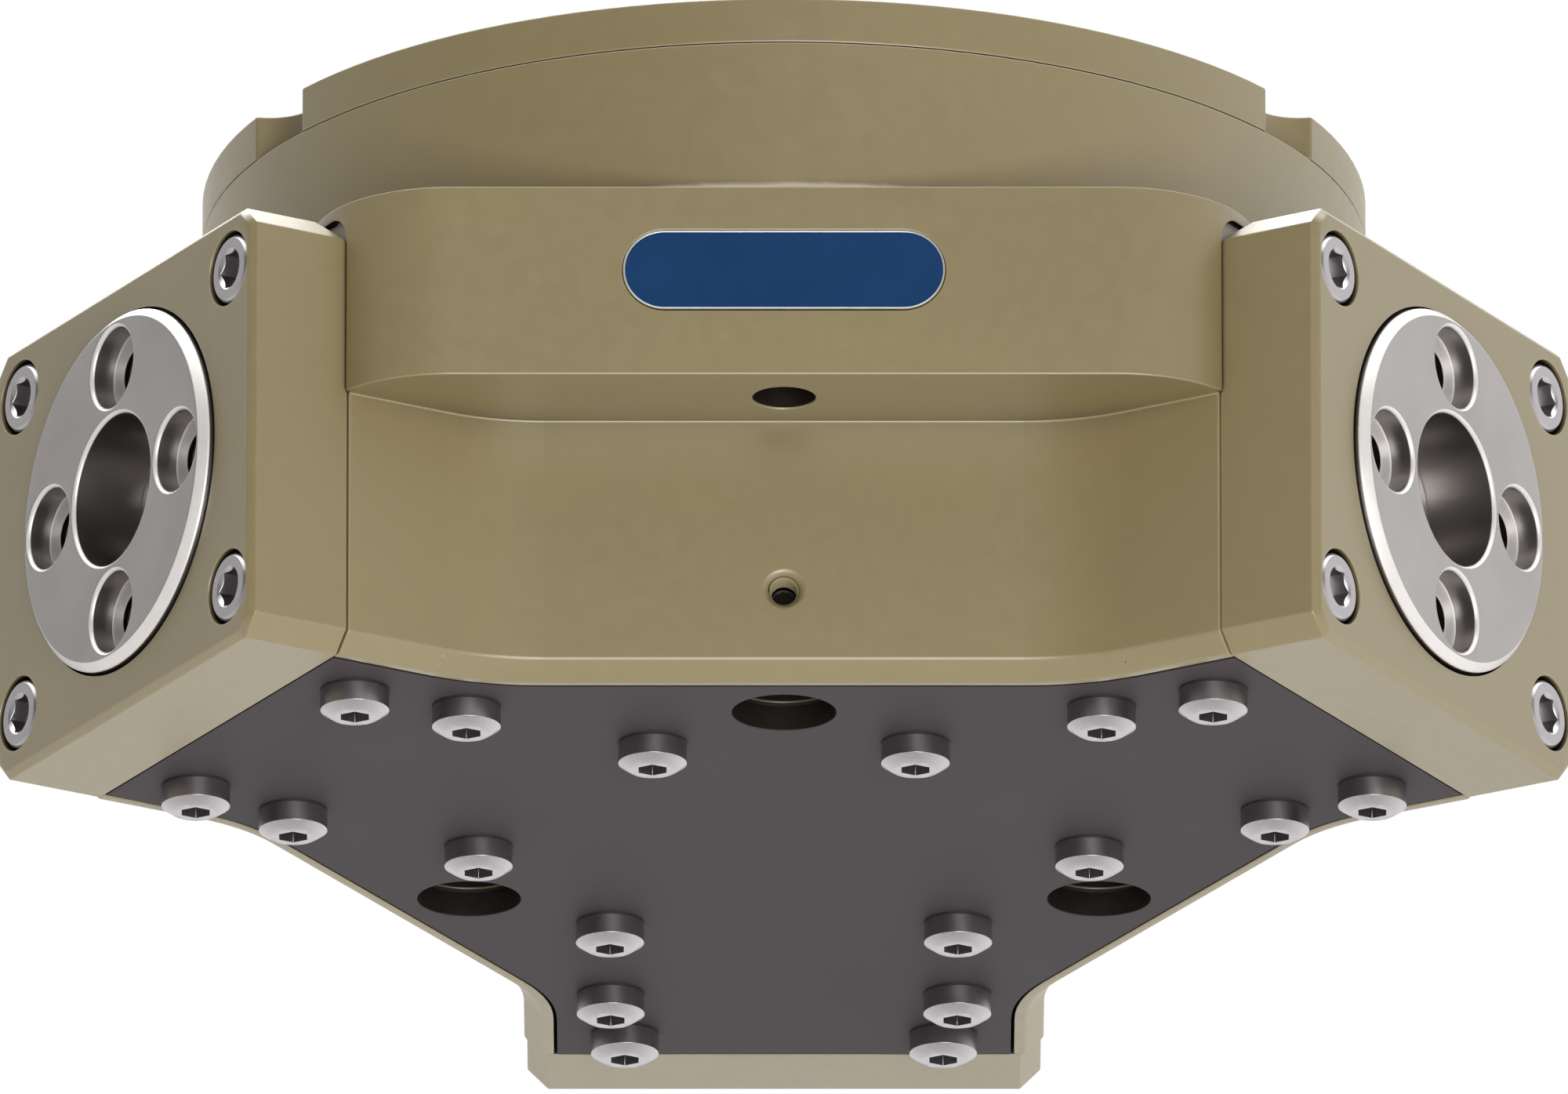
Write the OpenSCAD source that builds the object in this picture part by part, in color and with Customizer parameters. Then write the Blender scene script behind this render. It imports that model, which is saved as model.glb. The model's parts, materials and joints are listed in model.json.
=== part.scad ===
// Three jaw centric gripper. A round drive piston lifts a wedge hook hub, and the hub's three
// inclined T-slots push the round base jaws outwards together.
// Millimetres. The origin is the centre of the mounting face and +Z points to the robot, so the
// gripper hangs below z = 0 with its jaw cover facing down. Jaw 1 points along +Y, jaw 2 at 210
// degrees and jaw 3 at 330 degrees. The noses stand between the arms, at 270, 30 and 150 degrees.
// The jaws are drawn fully retracted, with the piston at the bottom of its stroke.

/* [Body] */
// Diameter of the round upper body and of the mounting flange
body_d = 168.4; // [166:0.2:176]
// Height from the bottom face to the mounting face
overall_h = 97.4; // [96:0.2:104]
// Thickness of the mounting flange
flange_t = 6.7; // [6.2:0.1:8]
// Chamfer along the lower edge of the housing
bottom_chamfer = 2.7; // [1:0.1:3.2]
// Radius of the scallop above each arm in the rim of the flange
scallop_r = 6.8; // [4:0.2:8]
// Distance of the scallop's centre outside the rim
scallop_out = 1.4; // [0.4:0.2:3]

/* [Arms] */
// Width of an arm of the housing
arm_w = 75.8; // [74.8:0.2:79]
// Distance from the gripper axis to the seat of an end plate
arm_length = 93.6; // [91:0.2:102]
// Distance from the gripper axis to the side wall between two arms
side_wall_d = 67.9; // [67:0.1:70]
// Radius of the upright fillet between side wall and arm
side_fillet_r = 28; // [16:0.5:34]

/* [Noses] */
// Distance from the gripper axis to the front face of a nose
nose_d = 87; // [86.5:0.1:90]
// Width of the flat front face of a nose
nose_flat_w = 95.2; // [92:0.2:96]
// Radius of the upright edges of a nose
nose_corner_r = 19.8; // [17:0.1:20]
// Height of the nose's top above the bottom face
nose_top_h = 67.6; // [67.3:0.1:72]
// Height of the nose's underside above the bottom face
nose_bottom_h = 38.9; // [30:0.1:48]
// Radius of the fillet between the nose's top and the round body
nose_root_fillet = 2.1; // [0.5:0.1:3]

/* [Robot side] */
// Radius of the circle of the outer mounting holes, through the noses
outer_bolt_r = 77; // [75.5:0.1:78]
// Radius of the circle of the inner mounting holes
inner_bolt_r = 52.6; // [52:0.1:55]
// Diameter of the mounting holes, clear for M8
bolt_hole_d = 9; // [8.4:0.1:10]
// Diameter of the access hole below each inner mounting hole
access_hole_d = 15; // [13:0.1:16]
// Depth of the screw seat below the mounting face
screw_seat_depth = 14.7; // [12:0.1:20]
// Diameter of the centring recess in the mounting face
centring_d = 50; // [40:0.5:54]
// Depth of the centring recess
centring_depth = 2.5; // [1.5:0.1:3]
// Distance of the two dowel holes from the gripper axis
dowel_r = 70; // [66:0.5:76]
// Diameter of the dowel holes
dowel_d = 6; // [4:0.5:8]
// Depth of the dowel holes
dowel_depth = 5; // [3:0.1:5.5]

/* [Flange screws] */
// Radius of the circle of the flange screws
flange_screw_r = 62; // [60:0.5:66]
// Angle of a flange screw from the arm's centre line
flange_screw_angle = 25; // [20:1:30]
// Thread diameter of the flange screws
flange_screw_d = 5; // [4:0.5:5]
// Length of the flange screws under the head
flange_screw_length = 14; // [10:1:20]
// Diameter of the heads
flange_head_d = 8.5; // [7:0.1:9]
// Height of the heads
flange_head_h = 3.5; // [2.5:0.1:3.6]
// Width across the flats of their hexagon sockets
flange_hex = 4; // [3:0.1:4.5]

/* [Air ports] */
// Bore of the air ports in the mounting face
port_d = 4; // [3:0.2:4.4]
// Distance of the closing port from the gripper axis
close_port_r = 32; // [30:0.5:34]
// Distance of the opening port from the gripper axis
open_port_r = 53; // [51.5:0.5:55]
// Bore of the cross drilling from the opening port to the cylinder
cross_port_d = 2.8; // [2:0.1:3]
// Thickness of the ports' O-rings
port_ring_d = 1.8; // [1.4:0.1:2]

/* [Cylinder] */
// Bore of the cylinder
cylinder_d = 80; // [76:0.5:82]
// Thickness of the piston
piston_t = 12; // [12:0.1:12.6]
// Space left between the piston and the cylinder's ends
end_space = 0.5; // [0.3:0.1:0.8]
// Chamfer under the piston, where the air comes in
piston_chamfer = 2.5; // [2:0.1:3]
// Diameter of the piston rod above the hub
rod_d = 24; // [20:0.5:26]
// Depth of the recess in the piston that holds the rod
rod_recess = 2; // [1:0.1:3]
// Width of the piston seal
piston_seal_w = 3.6; // [3:0.1:3.8]
// Depth of the piston seal
piston_seal_t = 3.4; // [2.5:0.1:4]
// Width of the piston's guide band
piston_band_w = 2.5; // [2:0.1:2.6]
// Wall below and above the piston seal
piston_land = 1.1; // [0.9:0.1:1.2]
// Thickness of the guide bands of piston and jaws
band_t = 1.5; // [1:0.1:2]
// Thickness of the O-ring between cylinder and flange
cylinder_ring_d = 2.4; // [1.8:0.1:2.6]
// Wall between the cylinder and that O-ring
cylinder_ring_land = 1.6; // [1:0.1:2]
// Length of the rod bush
rod_bush_l = 4.5; // [3.5:0.1:4.8]
// Wall of the rod bush
rod_bush_t = 2; // [1:0.1:2.5]
// Height of the rod seal
rod_seal_h = 2.6; // [2:0.1:3]
// Depth of the rod seal
rod_seal_t = 2.9; // [2:0.1:3.2]
// Wall between the rod seal and the cylinder
rod_seal_land = 1; // [0.8:0.1:1.2]

/* [Piston screw] */
// Thread diameter of the piston screw
piston_screw_d = 8; // [6:0.5:8]
// Length of the piston screw under the head
piston_screw_length = 25; // [18:1:26]
// Diameter of the head of the piston screw
piston_head_d = 13; // [11:0.1:14]
// Height of the head of the piston screw
piston_head_h = 5; // [4:0.1:6]
// Width across the flats of its hexagon socket
piston_hex = 6; // [4:0.1:7]

/* [Jaws] */
// Diameter of the round base jaws
jaw_d = 53; // [52.7:0.1:53.4]
// Height of the jaw axis above the bottom face
jaw_axis_h = 33; // [32.8:0.1:34]
// Stroke of each jaw
jaw_stroke = 10; // [6:0.5:10]
// Distance that a retracted jaw stands out of its end plate
jaw_proud = 1.9; // [1.3:0.1:3]
// Chamfer round the front face of a jaw
jaw_chamfer = 1.2; // [0.5:0.1:1.3]
// Distance from the gripper axis to the inner end of a retracted jaw
jaw_inner_a = 16.5; // [16:0.1:18]
// Radius of the circle of the four finger screws
finger_bolt_r = 18.6; // [18.2:0.1:18.7]
// Core diameter of the finger threads, M8
finger_thread_d = 6.8; // [5:0.1:7]
// Depth of the finger threads below their sleeve seats
finger_thread_l = 14; // [10:0.5:18]
// Diameter of the seats for centring sleeves
sleeve_d = 12; // [10:0.1:12.2]
// Depth of the sleeve seats
sleeve_depth = 3.9; // [2:0.1:5]
// Chamfer at the mouth of the sleeve seats and of the centring bore
mouth_chamfer = 0.4; // [0.1:0.1:0.4]
// Diameter of the centring bore in the jaw's face
jaw_bore_d = 22.4; // [16:0.2:22.6]
// Depth of the centring bore
jaw_bore_depth = 11; // [6:0.5:14]
// Width of the jaws' guide bands
jaw_band_w = 5; // [3:0.5:6]
// Distance from the gripper axis to the middle of a retracted jaw's inner band
inner_band_a = 49; // [47:0.5:52]
// Distance between the middles of the jaw's two bands
band_spacing = 29; // [20:0.5:30]

/* [Wedge hook] */
// Angle of the inclined T-slots against the gripper axis
hook_angle = 35; // [33:1:38]
// Width of the hook's neck
neck_w = 10; // [8:0.5:11]
// Length of the hook's neck
neck_l = 4; // [3.5:0.1:4.4]
// Width of the hook's head
head_w = 18; // [16:0.5:18.5]
// Thickness of the hook's head
head_t = 4.5; // [3.5:0.1:4.8]
// Length of the hook along its slot
hook_l = 13; // [10:0.5:13.5]
// Solid radius left between the three slots at the hub's top
hub_core_r = 7.6; // [7:0.1:8]
// Radius of the hub
hub_r = 42; // [41:0.1:42.5]
// Distance from the gripper axis to the hub's flats between the slots
hub_side_d = 30; // [29.5:0.1:31]
// How far the hub's ends stand past the hook
hub_over = 1; // [0.5:0.1:1.2]

/* [End plates] */
// Thickness of the end plates
end_plate_t = 15.9; // [15:0.1:20]
// Height of the end plates' top above the bottom face
end_plate_h = 65.3; // [64.4:0.1:66]
// Chamfer at the four corners of an end plate
plate_corner = 3; // [1:0.1:3.2]
// Chamfer round the outer face of an end plate
plate_edge = 1; // [0.3:0.1:1.2]
// Relief chamfer at the top of the end plate's inner face
plate_relief = 3.7; // [1:0.1:4]
// Radius of the upper corners of the recess that an end plate stands in
recess_corner_r = 3.5; // [1:0.1:4]
// Sideways distance of the end plate screws from the jaw axis
end_screw_y = 30.6; // [30.3:0.1:31]
// Upright distance of the end plate screws from the jaw axis
end_screw_z = 24.2; // [24:0.1:25]
// Thread diameter of the end plate screws and of the cover screws
screw_d = 6; // [5:0.5:6]
// Diameter of the heads of the end plate screws
end_head_d = 10; // [9:0.1:10.4]
// Height of the heads of the end plate screws
end_head_h = 6; // [4:0.1:7]
// Width across the flats of their hexagon sockets
end_hex = 5; // [4:0.1:6]
// Length of the end plate screws under the head
end_screw_length = 22; // [16:1:24]
// Depth of the jaw seals
seal_t = 3; // [2:0.1:3.4]
// Wall between the inner jaw seal and the end plate's O-ring
seal_land = 1.5; // [1:0.1:2]
// Width of the inner jaw seal
jaw_seal_w = 3.6; // [2.5:0.1:4]
// Width of the wiper
wiper_w = 3; // [2:0.1:3.5]
// Distance of the wiper from the outer face of its end plate
wiper_in = 2; // [1.5:0.1:3]
// Thickness of the O-ring between end plate and arm
plate_ring_d = 2; // [1.5:0.1:2.4]

/* [Cover] */
// Thickness of the jaw cover
cover_t = 3.7; // [3:0.1:3.8]
// Thickness of the gasket under the cover
gasket_t = 0.5; // [0.3:0.1:0.6]
// Width of the housing's lip beside the cover along an arm
cover_lip = 4.4; // [4:0.1:5]
// Width of the housing's lip along the side wall, with its chamfer
cover_side_lip = 4.1; // [3.6:0.1:5]
// Radius of the cover's fillets
cover_fillet_r = 31; // [24:0.5:36]
// Distance of the cover screws from the pocket's edge
cover_screw_edge = 8.3; // [7.5:0.1:9]
// Distance of the outermost cover screws from the pocket's edge
cover_screw_edge_outer = 10.3; // [9:0.1:11]
// Distance of the innermost cover screws from the gripper axis
cover_screw_inner_a = 36.3; // [35:0.1:40]
// Distance of the middle cover screws from the end plate's seat
cover_screw_mid_in = 26.6; // [25:0.1:32]
// Distance of the outermost cover screws from the end plate's seat
cover_screw_outer_in = 9.4; // [8:0.1:10.5]
// Length of the cover screws under the head
cover_screw_length = 12; // [10:0.5:12]
// Diameter of the heads of the cover screws
cover_head_d = 9.9; // [9:0.1:10.6]
// Height of the round side of the heads
cover_head_h = 2.8; // [2:0.1:3.5]
// Height of the coned end of the heads
cover_head_cone = 1; // [0.5:0.1:1.4]
// Diameter of the flat end of the heads
cover_head_flat_d = 6.8; // [5.5:0.1:7.5]
// Width across the flats of their hexagon sockets
cover_hex = 4; // [3:0.1:5]
// Depth of the hexagon sockets
cover_hex_depth = 2.4; // [1.5:0.1:3]
// Thickness of the sealing ring under each head
cover_seal_t = 0.35; // [0.2:0.05:0.6]

/* [Small features] */
// Height of the purge port above the bottom face
purge_h = 13.2; // [10:0.1:24]
// Core diameter of the purge port's thread, M5
purge_d = 4.2; // [3:0.1:4.4]
// Depth of the purge port
purge_depth = 6; // [4:0.1:6]
// Chamfer at the mouth of the purge port
purge_chamfer = 0.8; // [0.3:0.1:1.2]
// Length of the label plate
label_w = 46; // [30:0.5:60]
// Height of the label plate
label_h = 12; // [8:0.5:16]
// Thickness of the label plate
label_t = 0.4; // [0.3:0.1:0.8]
// Depth of the recess that the label plate lies in
label_depth = 0.3; // [0.1:0.1:0.5]
// Height of the label's middle above the bottom face
label_z_h = 54.8; // [50:0.1:58]

/* [Clearances] */
// Radial gap of sliding pieces
slide_gap = 0.04; // [0.02:0.01:0.08]
// Radial gap between a jaw and its bore
body_gap = 0.1; // [0.06:0.01:0.14]
// Radial gap of the piston and of its rod beside their bands, bush and seals
piston_gap = 0.3; // [0.15:0.05:0.4]
// Radial gap between a jaw and its end plate
plate_bore_gap = 0.35; // [0.2:0.05:0.5]
// Gap of pieces that stay put in their seats
seat_gap = 0.05; // [0.02:0.01:0.08]
// Gap of the hook in its slot
hook_gap = 0.1; // [0.05:0.01:0.2]
// Gap between the inclined faces of jaw and hub
face_gap = 0.2; // [0.1:0.05:0.3]
// Gap between the hub and the housing
hub_gap = 0.5; // [0.3:0.1:0.8]
// Radial gap of a screw in its clearance hole
screw_gap = 0.3; // [0.2:0.05:0.4]
// Radial gap of a screw head in its counterbore
head_gap = 0.5; // [0.3:0.05:0.6]
// How far a sunk head lies below the face
head_sink = 0.2; // [0.1:0.05:0.4]
// Gap round the cover and above the end plates
cover_gap = 0.4; // [0.2:0.05:0.5]
// Gap between the end plate's sides and the arm's outline
plate_side_gap = 0.4; // [0.2:0.05:0.6]

/* [Hidden] */

$fn = 96;
olive = "#8b7f5c";
dark_coat = "#565152";
steel = "#b9b5b3";
seal_black = "#232323";
band_tan = "#7a6a4a";
label_blue = "#1c3b68";

// how far a cutting tool runs past what it cuts
over = 1;
// step left where a fillet runs out, so that arc and wall meet at a corner
fillet_step = 0.01;
// larger than the whole gripper, for half-space cuts
far = 150;
// rim chamfer of a cylinder head, as a share of its diameter
head_rim = 0.05;
// width of a hexagon socket's coned mouth, as a share of its width across the flats
hex_mouth = 1.22;

// levels
bottom_z = -overall_h;
jaw_z = bottom_z + jaw_axis_h;
nose_top_z = bottom_z + nose_top_h;
nose_bottom_z = bottom_z + nose_bottom_h;
plate_top_z = bottom_z + end_plate_h;
cover_in_z = bottom_z + cover_t;
pocket_z = cover_in_z + gasket_t;

// radii
body_r = body_d / 2;
jaw_r = jaw_d / 2;
jaw_hole_r = jaw_r + body_gap;
plate_hole_r = jaw_r + plate_bore_gap;
cylinder_r = cylinder_d / 2;
rod_r = rod_d / 2;

// end plates and jaws along their arm
plate_face_a = arm_length + end_plate_t;
jaw_face_a = plate_face_a + jaw_proud;
plate_half_w = arm_w / 2 - plate_side_gap;

// drive: the slot's slope turns the piston stroke into jaw stroke
slope = tan(hook_angle);
piston_stroke = jaw_stroke / slope;
cylinder_h = piston_t + piston_stroke + 2 * end_space;
cylinder_floor_z = -flange_t - cylinder_h;
piston_z = cylinder_floor_z + end_space;
piston_top_z = piston_z + piston_t;
hook_rise = hook_l / 2 * cos(hook_angle);
hook_drop = hook_rise + (neck_l + head_t) * sin(hook_angle);
hub_top_z = jaw_z + hook_rise + hub_over;
hub_bottom_z = jaw_z - hook_drop - hub_over - piston_stroke;
slot_depth = (neck_l + head_t + hook_gap - face_gap) / cos(hook_angle);
hub_top_d = hub_core_r + slot_depth;
hook_face_a = hub_top_d + slope * (hub_top_z - jaw_z) + face_gap / cos(hook_angle);
ceiling_z = hub_top_z + piston_stroke + 2 * hub_gap;
rod_seal_z = cylinder_floor_z - rod_seal_land - rod_seal_h;

// grooves stand above the piston's chamfer, with a land between them
piston_seal_z = piston_z + piston_chamfer + piston_land;
piston_band_z = piston_seal_z + piston_seal_w + piston_land;
piston_screw_seat_z = piston_top_z - piston_head_h - head_sink;

// jaw bands, seals and the screws of the end plates, by their places along the arm
jaw_band_places = [inner_band_a - jaw_band_w / 2, inner_band_a + band_spacing - jaw_band_w / 2];
seal_a = arm_length + plate_ring_d + seal_land;
wiper_a = plate_face_a - wiper_in - wiper_w;
plate_ring_r = plate_hole_r + seal_t + plate_ring_d / 2;
end_screw_seat_a = plate_face_a - end_head_h - head_sink;
end_screw_tip_a = end_screw_seat_a - end_screw_length;

// robot side
flange_screw_seat_z = -flange_head_h - head_sink;
cylinder_ring_r = cylinder_r + cylinder_ring_land + cylinder_ring_d / 2;
port_seat_d = port_d + 2 * port_ring_d + 4 * seat_gap;
port_places = [[0, open_port_r, 0], [0, close_port_r, 0]];

// cover and its pocket
pocket_half_w = arm_w / 2 - cover_lip;
pocket_d = side_wall_d - cover_side_lip;
cover_screw_places = [[cover_screw_inner_a, pocket_half_w - cover_screw_edge],
  [arm_length - cover_screw_mid_in, pocket_half_w - cover_screw_edge],
  [arm_length - cover_screw_outer_in, pocket_half_w - cover_screw_edge_outer]];

// angle of arm i, from 0 to 2
function arm_angle(i) = 90 + 120 * i;

module at_arm(i) { rotate(arm_angle(i)) children(); }

module at_arms() { for (i = [0:2]) at_arm(i) children(); }

module at_noses() { for (i = [0:2]) rotate(arm_angle(i) + 180) children(); }

// turns +Z to the arm's outward direction, at the height of the jaw axis
module along_jaw(a = 0) { translate([a, 0, jaw_z]) rotate([0, 90, 0]) children(); }

// frame of the inclined slot face: +X out of the hub, +Z up the slope
module on_slope() { translate([hook_face_a, 0, jaw_z]) rotate([0, -hook_angle, 0]) children(); }

// blind hole with a chamfered mouth, opening at z = 0
module mouth_hole(d, depth, chamfer) {
  translate([0, 0, -depth]) cylinder(d = d, h = depth + over);
  translate([0, 0, -chamfer]) cylinder(d1 = d, d2 = d + 2 * (chamfer + over), h = chamfer + over);
}

module ring(r_in, r_out, h) {
  rotate_extrude() translate([r_in, 0]) square([r_out - r_in, h]);
}

// groove for an O-ring of radius r and thickness d, open at the top
module o_ring_groove(r, d, h) { ring(r - d / 2 - seat_gap, r + d / 2 + seat_gap, h); }

module torus(r, d) {
  rotate_extrude() translate([r, 0]) circle(d = d, $fn = 24);
}

// ---- outlines seen along the gripper axis ----

// distance along the side wall from its middle to the arm's side, in the frame of a nose
function corner_y(half_w, wall_d) = (wall_d * sin(60) - half_w) / cos(60);

// distance along the arm to the same corner
function corner_a(half_w, wall_d) = wall_d * cos(60) + corner_y(half_w, wall_d) * sin(60);

// length that a fillet takes from each of its two sides, which meet at 150 degrees
function fillet_reach(r) = r * tan(15);

// the fillet between a side wall and an arm's side, in the frame of a nose
module wall_fillet(half_w, wall_d, r) {
  y = corner_y(half_w, wall_d);
  reach = fillet_reach(r);
  difference() {
    polygon([[wall_d, y - reach], [wall_d + reach * cos(60), y + reach * sin(60)],
      [wall_d - over, y]]);
    translate([wall_d + r, y - reach]) circle(r - fillet_step);
  }
}

// three arms joined by side walls with fillets
module three_arms(half_w, length, wall_d, r) {
  y = corner_y(half_w, wall_d);
  at_arms() translate([0, -half_w]) square([length, 2 * half_w]);
  at_noses() translate([0, -y]) square([wall_d, 2 * y]);
  at_noses() for (side = [0, 1]) mirror([0, side]) wall_fillet(half_w, wall_d, r);
}

// a nose, in its own frame
module nose_outline() {
  translate([0, -nose_flat_w / 2]) square([nose_d, nose_flat_w]);
  for (side = [-1, 1]) translate([nose_d - nose_corner_r, side * nose_flat_w / 2]) circle(nose_corner_r);
}

module cover_outline(gap) {
  three_arms(pocket_half_w - gap, arm_length - gap / 2, pocket_d - gap, cover_fillet_r + gap);
}

// the space that the hub moves in
module cavity_outline() {
  difference() {
    circle(hub_r + hub_gap);
    at_noses() translate([hub_side_d + hub_gap, -far]) square([far, 2 * far]);
  }
}

module stadium(w, h) {
  translate([-(w - h) / 2, -h / 2]) square([w - h, h]);
  for (side = [-1, 1]) translate([side * (w - h) / 2, 0]) circle(d = h);
}

// ---- chamfers ----

// removes the lower corner of a wall that faces +X, at x = 0, along y from y0 to y1
module lower_chamfer(c, y0, y1) {
  translate([0, y1, bottom_z]) rotate([90, 0, 0]) linear_extrude(y1 - y0)
    polygon([[-c - over, -over], [over, c + over], [over, -over]]);
}

// chamfer along the lower edge of the housing
module bottom_chamfers() {
  c = bottom_chamfer;
  half_w = arm_w / 2;
  y = corner_y(half_w, side_wall_d) - fillet_reach(side_fillet_r);
  a = corner_a(half_w, side_wall_d) + fillet_reach(side_fillet_r);
  at_noses() {
    translate([side_wall_d, 0, 0]) lower_chamfer(c, -y, y);
    for (side = [-1, 1])
      translate([side_wall_d + side_fillet_r, side * y, bottom_z - over])
        cylinder(h = c + 2 * over, r1 = side_fillet_r + c + over, r2 = side_fillet_r - over);
  }
  at_arms() for (side = [0, 1]) mirror([0, side, 0])
    translate([0, half_w, 0]) rotate(90) lower_chamfer(c, -arm_length - over, -a);
}

// ---- screws ----

// hexagon socket with a coned mouth, opening at z = 0, with two corners along Y
module hex_socket(width, depth) {
  mouth_r = hex_mouth * width / 2;
  cone_h = mouth_r - width / 4;
  translate([0, 0, -depth]) rotate(30) cylinder(d = width / cos(30), h = depth + over, $fn = 6);
  translate([0, 0, -cone_h]) cylinder(r1 = width / 4, r2 = mouth_r + over, h = cone_h + over);
}

// cylinder head screw: the head's seat is at z = 0 and the shank points down
module cap_screw(d, length, head_d, head_h, hex) {
  rim = head_d * head_rim;
  difference() {
    union() {
      translate([0, 0, -length]) cylinder(d = d, h = length + head_h / 2);
      cylinder(d = head_d, h = head_h - rim);
      translate([0, 0, head_h - rim]) cylinder(d1 = head_d, d2 = head_d - 2 * rim, h = rim);
    }
    translate([0, 0, head_h]) hex_socket(hex, head_h / 2);
  }
}

// coned screw of the jaw cover, with its head pointing down
module cover_screw() {
  head_h = cover_head_h + cover_head_cone;
  difference() {
    union() {
      translate([0, 0, -cover_head_h]) cylinder(d = cover_head_d, h = cover_head_h);
      translate([0, 0, -head_h])
        cylinder(d1 = cover_head_flat_d, d2 = cover_head_d, h = cover_head_cone);
      translate([0, 0, -cover_head_h]) cylinder(d = screw_d, h = cover_head_h + cover_screw_length);
    }
    translate([0, 0, -head_h - over])
      cylinder(d = cover_hex / cos(30), h = cover_hex_depth + over, $fn = 6);
  }
}

// puts its children at each cover screw's place
module at_cover_screws() {
  at_arms() for (place = cover_screw_places, side = [-1, 1])
    translate([place[0], side * place[1], 0]) children();
}

module at_flange_screws() {
  at_arms() for (side = [-1, 1]) rotate(side * flange_screw_angle)
    translate([flange_screw_r, 0, 0]) children();
}

// screw places of one end plate, with +Z along the arm
module at_end_screws() {
  for (y = [-end_screw_y, end_screw_y], z = [-end_screw_z, end_screw_z])
    translate([0, y, z]) along_jaw() children();
}

// ---- housing ----

module end_plate_recess() {
  half_w = arm_w / 2;
  top = plate_top_z + cover_gap + seat_gap;
  r = recess_corner_r;
  translate([arm_length, 0, 0]) rotate([90, 0, 90]) linear_extrude(far) {
    translate([-half_w, bottom_z - far]) square([2 * half_w, top - r - bottom_z + far]);
    translate([-half_w + r, bottom_z]) square([2 * (half_w - r), top - bottom_z]);
    for (side = [-1, 1]) translate([side * (half_w - r), top - r]) circle(r);
  }
}

module housing_solid() {
  difference() {
    union() {
      translate([0, 0, bottom_z]) linear_extrude(nose_top_h)
        three_arms(arm_w / 2, arm_length, side_wall_d, side_fillet_r);
      translate([0, 0, nose_bottom_z]) linear_extrude(nose_top_z - nose_bottom_z)
        at_noses() nose_outline();
      translate([0, 0, nose_bottom_z + over])
        cylinder(r = body_r, h = -flange_t - nose_bottom_z - over, $fn = 180);
      translate([0, 0, nose_top_z]) rotate_extrude($fn = 180) difference() {
        translate([body_r - over, -over]) square(nose_root_fillet + over);
        translate([body_r + nose_root_fillet, nose_root_fillet]) circle(nose_root_fillet);
      }
    }
    at_arms() end_plate_recess();
    bottom_chamfers();
  }
}

// cylinder, rod passage, hub space and jaw bores
module drive_space() {
  translate([0, 0, cylinder_floor_z]) cylinder(r = cylinder_r, h = far);
  translate([0, 0, -flange_t - cylinder_ring_d])
    o_ring_groove(cylinder_ring_r, cylinder_ring_d, far);
  translate([0, 0, ceiling_z - over]) cylinder(r = rod_r + piston_gap, h = far);
  translate([0, 0, ceiling_z - over])
    cylinder(r = rod_r + rod_bush_t + seat_gap, h = rod_bush_l + over);
  translate([0, 0, rod_seal_z])
    cylinder(r = rod_r + rod_seal_t + seat_gap, h = rod_seal_h);
  translate([0, 0, pocket_z - over]) linear_extrude(ceiling_z - pocket_z + over) cavity_outline();
  at_arms() along_jaw(jaw_inner_a - hub_gap)
    cylinder(r = jaw_hole_r, h = arm_length - jaw_inner_a + hub_gap + over);
}

module air_ways() {
  at_arm(0) {
    translate([open_port_r, 0, cylinder_floor_z + cross_port_d / 2 + end_space / 2]) {
      cylinder(d = port_d, h = far);
      rotate([0, -90, 0]) cylinder(d = cross_port_d, h = open_port_r - cylinder_r + 2 * over);
    }
    translate([open_port_r, 0, -flange_t - port_ring_d]) cylinder(d = port_seat_d, h = far);
  }
}

module mounting_holes() {
  at_noses() {
    translate([outer_bolt_r, 0, nose_bottom_z - over]) cylinder(d = bolt_hole_d, h = far);
    translate([inner_bolt_r, 0, pocket_z - over]) {
      cylinder(d = bolt_hole_d, h = far);
      cylinder(d = access_hole_d, h = over - screw_seat_depth - pocket_z);
    }
  }
}

module housing() {
  thread_r = screw_d / 2 + seat_gap;
  color(olive) difference() {
    housing_solid();
    drive_space();
    air_ways();
    mounting_holes();
    translate([0, 0, bottom_z - over]) linear_extrude(pocket_z - bottom_z + over)
      three_arms(pocket_half_w, arm_length + over, pocket_d, cover_fillet_r);
    translate([0, 0, bottom_z]) at_cover_screws()
      cylinder(r = thread_r, h = cover_screw_length + over - cover_seal_t);
    at_arms() at_end_screws() translate([0, 0, end_screw_tip_a - over])
      cylinder(r = thread_r, h = far);
    at_flange_screws() translate([0, 0, flange_screw_seat_z - flange_screw_length - over])
      cylinder(r = flange_screw_d / 2 + seat_gap, h = far);
    rotate(-90) translate([side_wall_d, 0, bottom_z + purge_h]) rotate([0, 90, 0])
      mouth_hole(purge_d, purge_depth, purge_chamfer);
    rotate(-90) translate([nose_d - label_depth, 0, bottom_z + label_z_h])
      rotate([90, 0, 90]) linear_extrude(far) stadium(label_w + 2 * seat_gap, label_h + 2 * seat_gap);
  }
}

// ---- robot side ----

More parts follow.
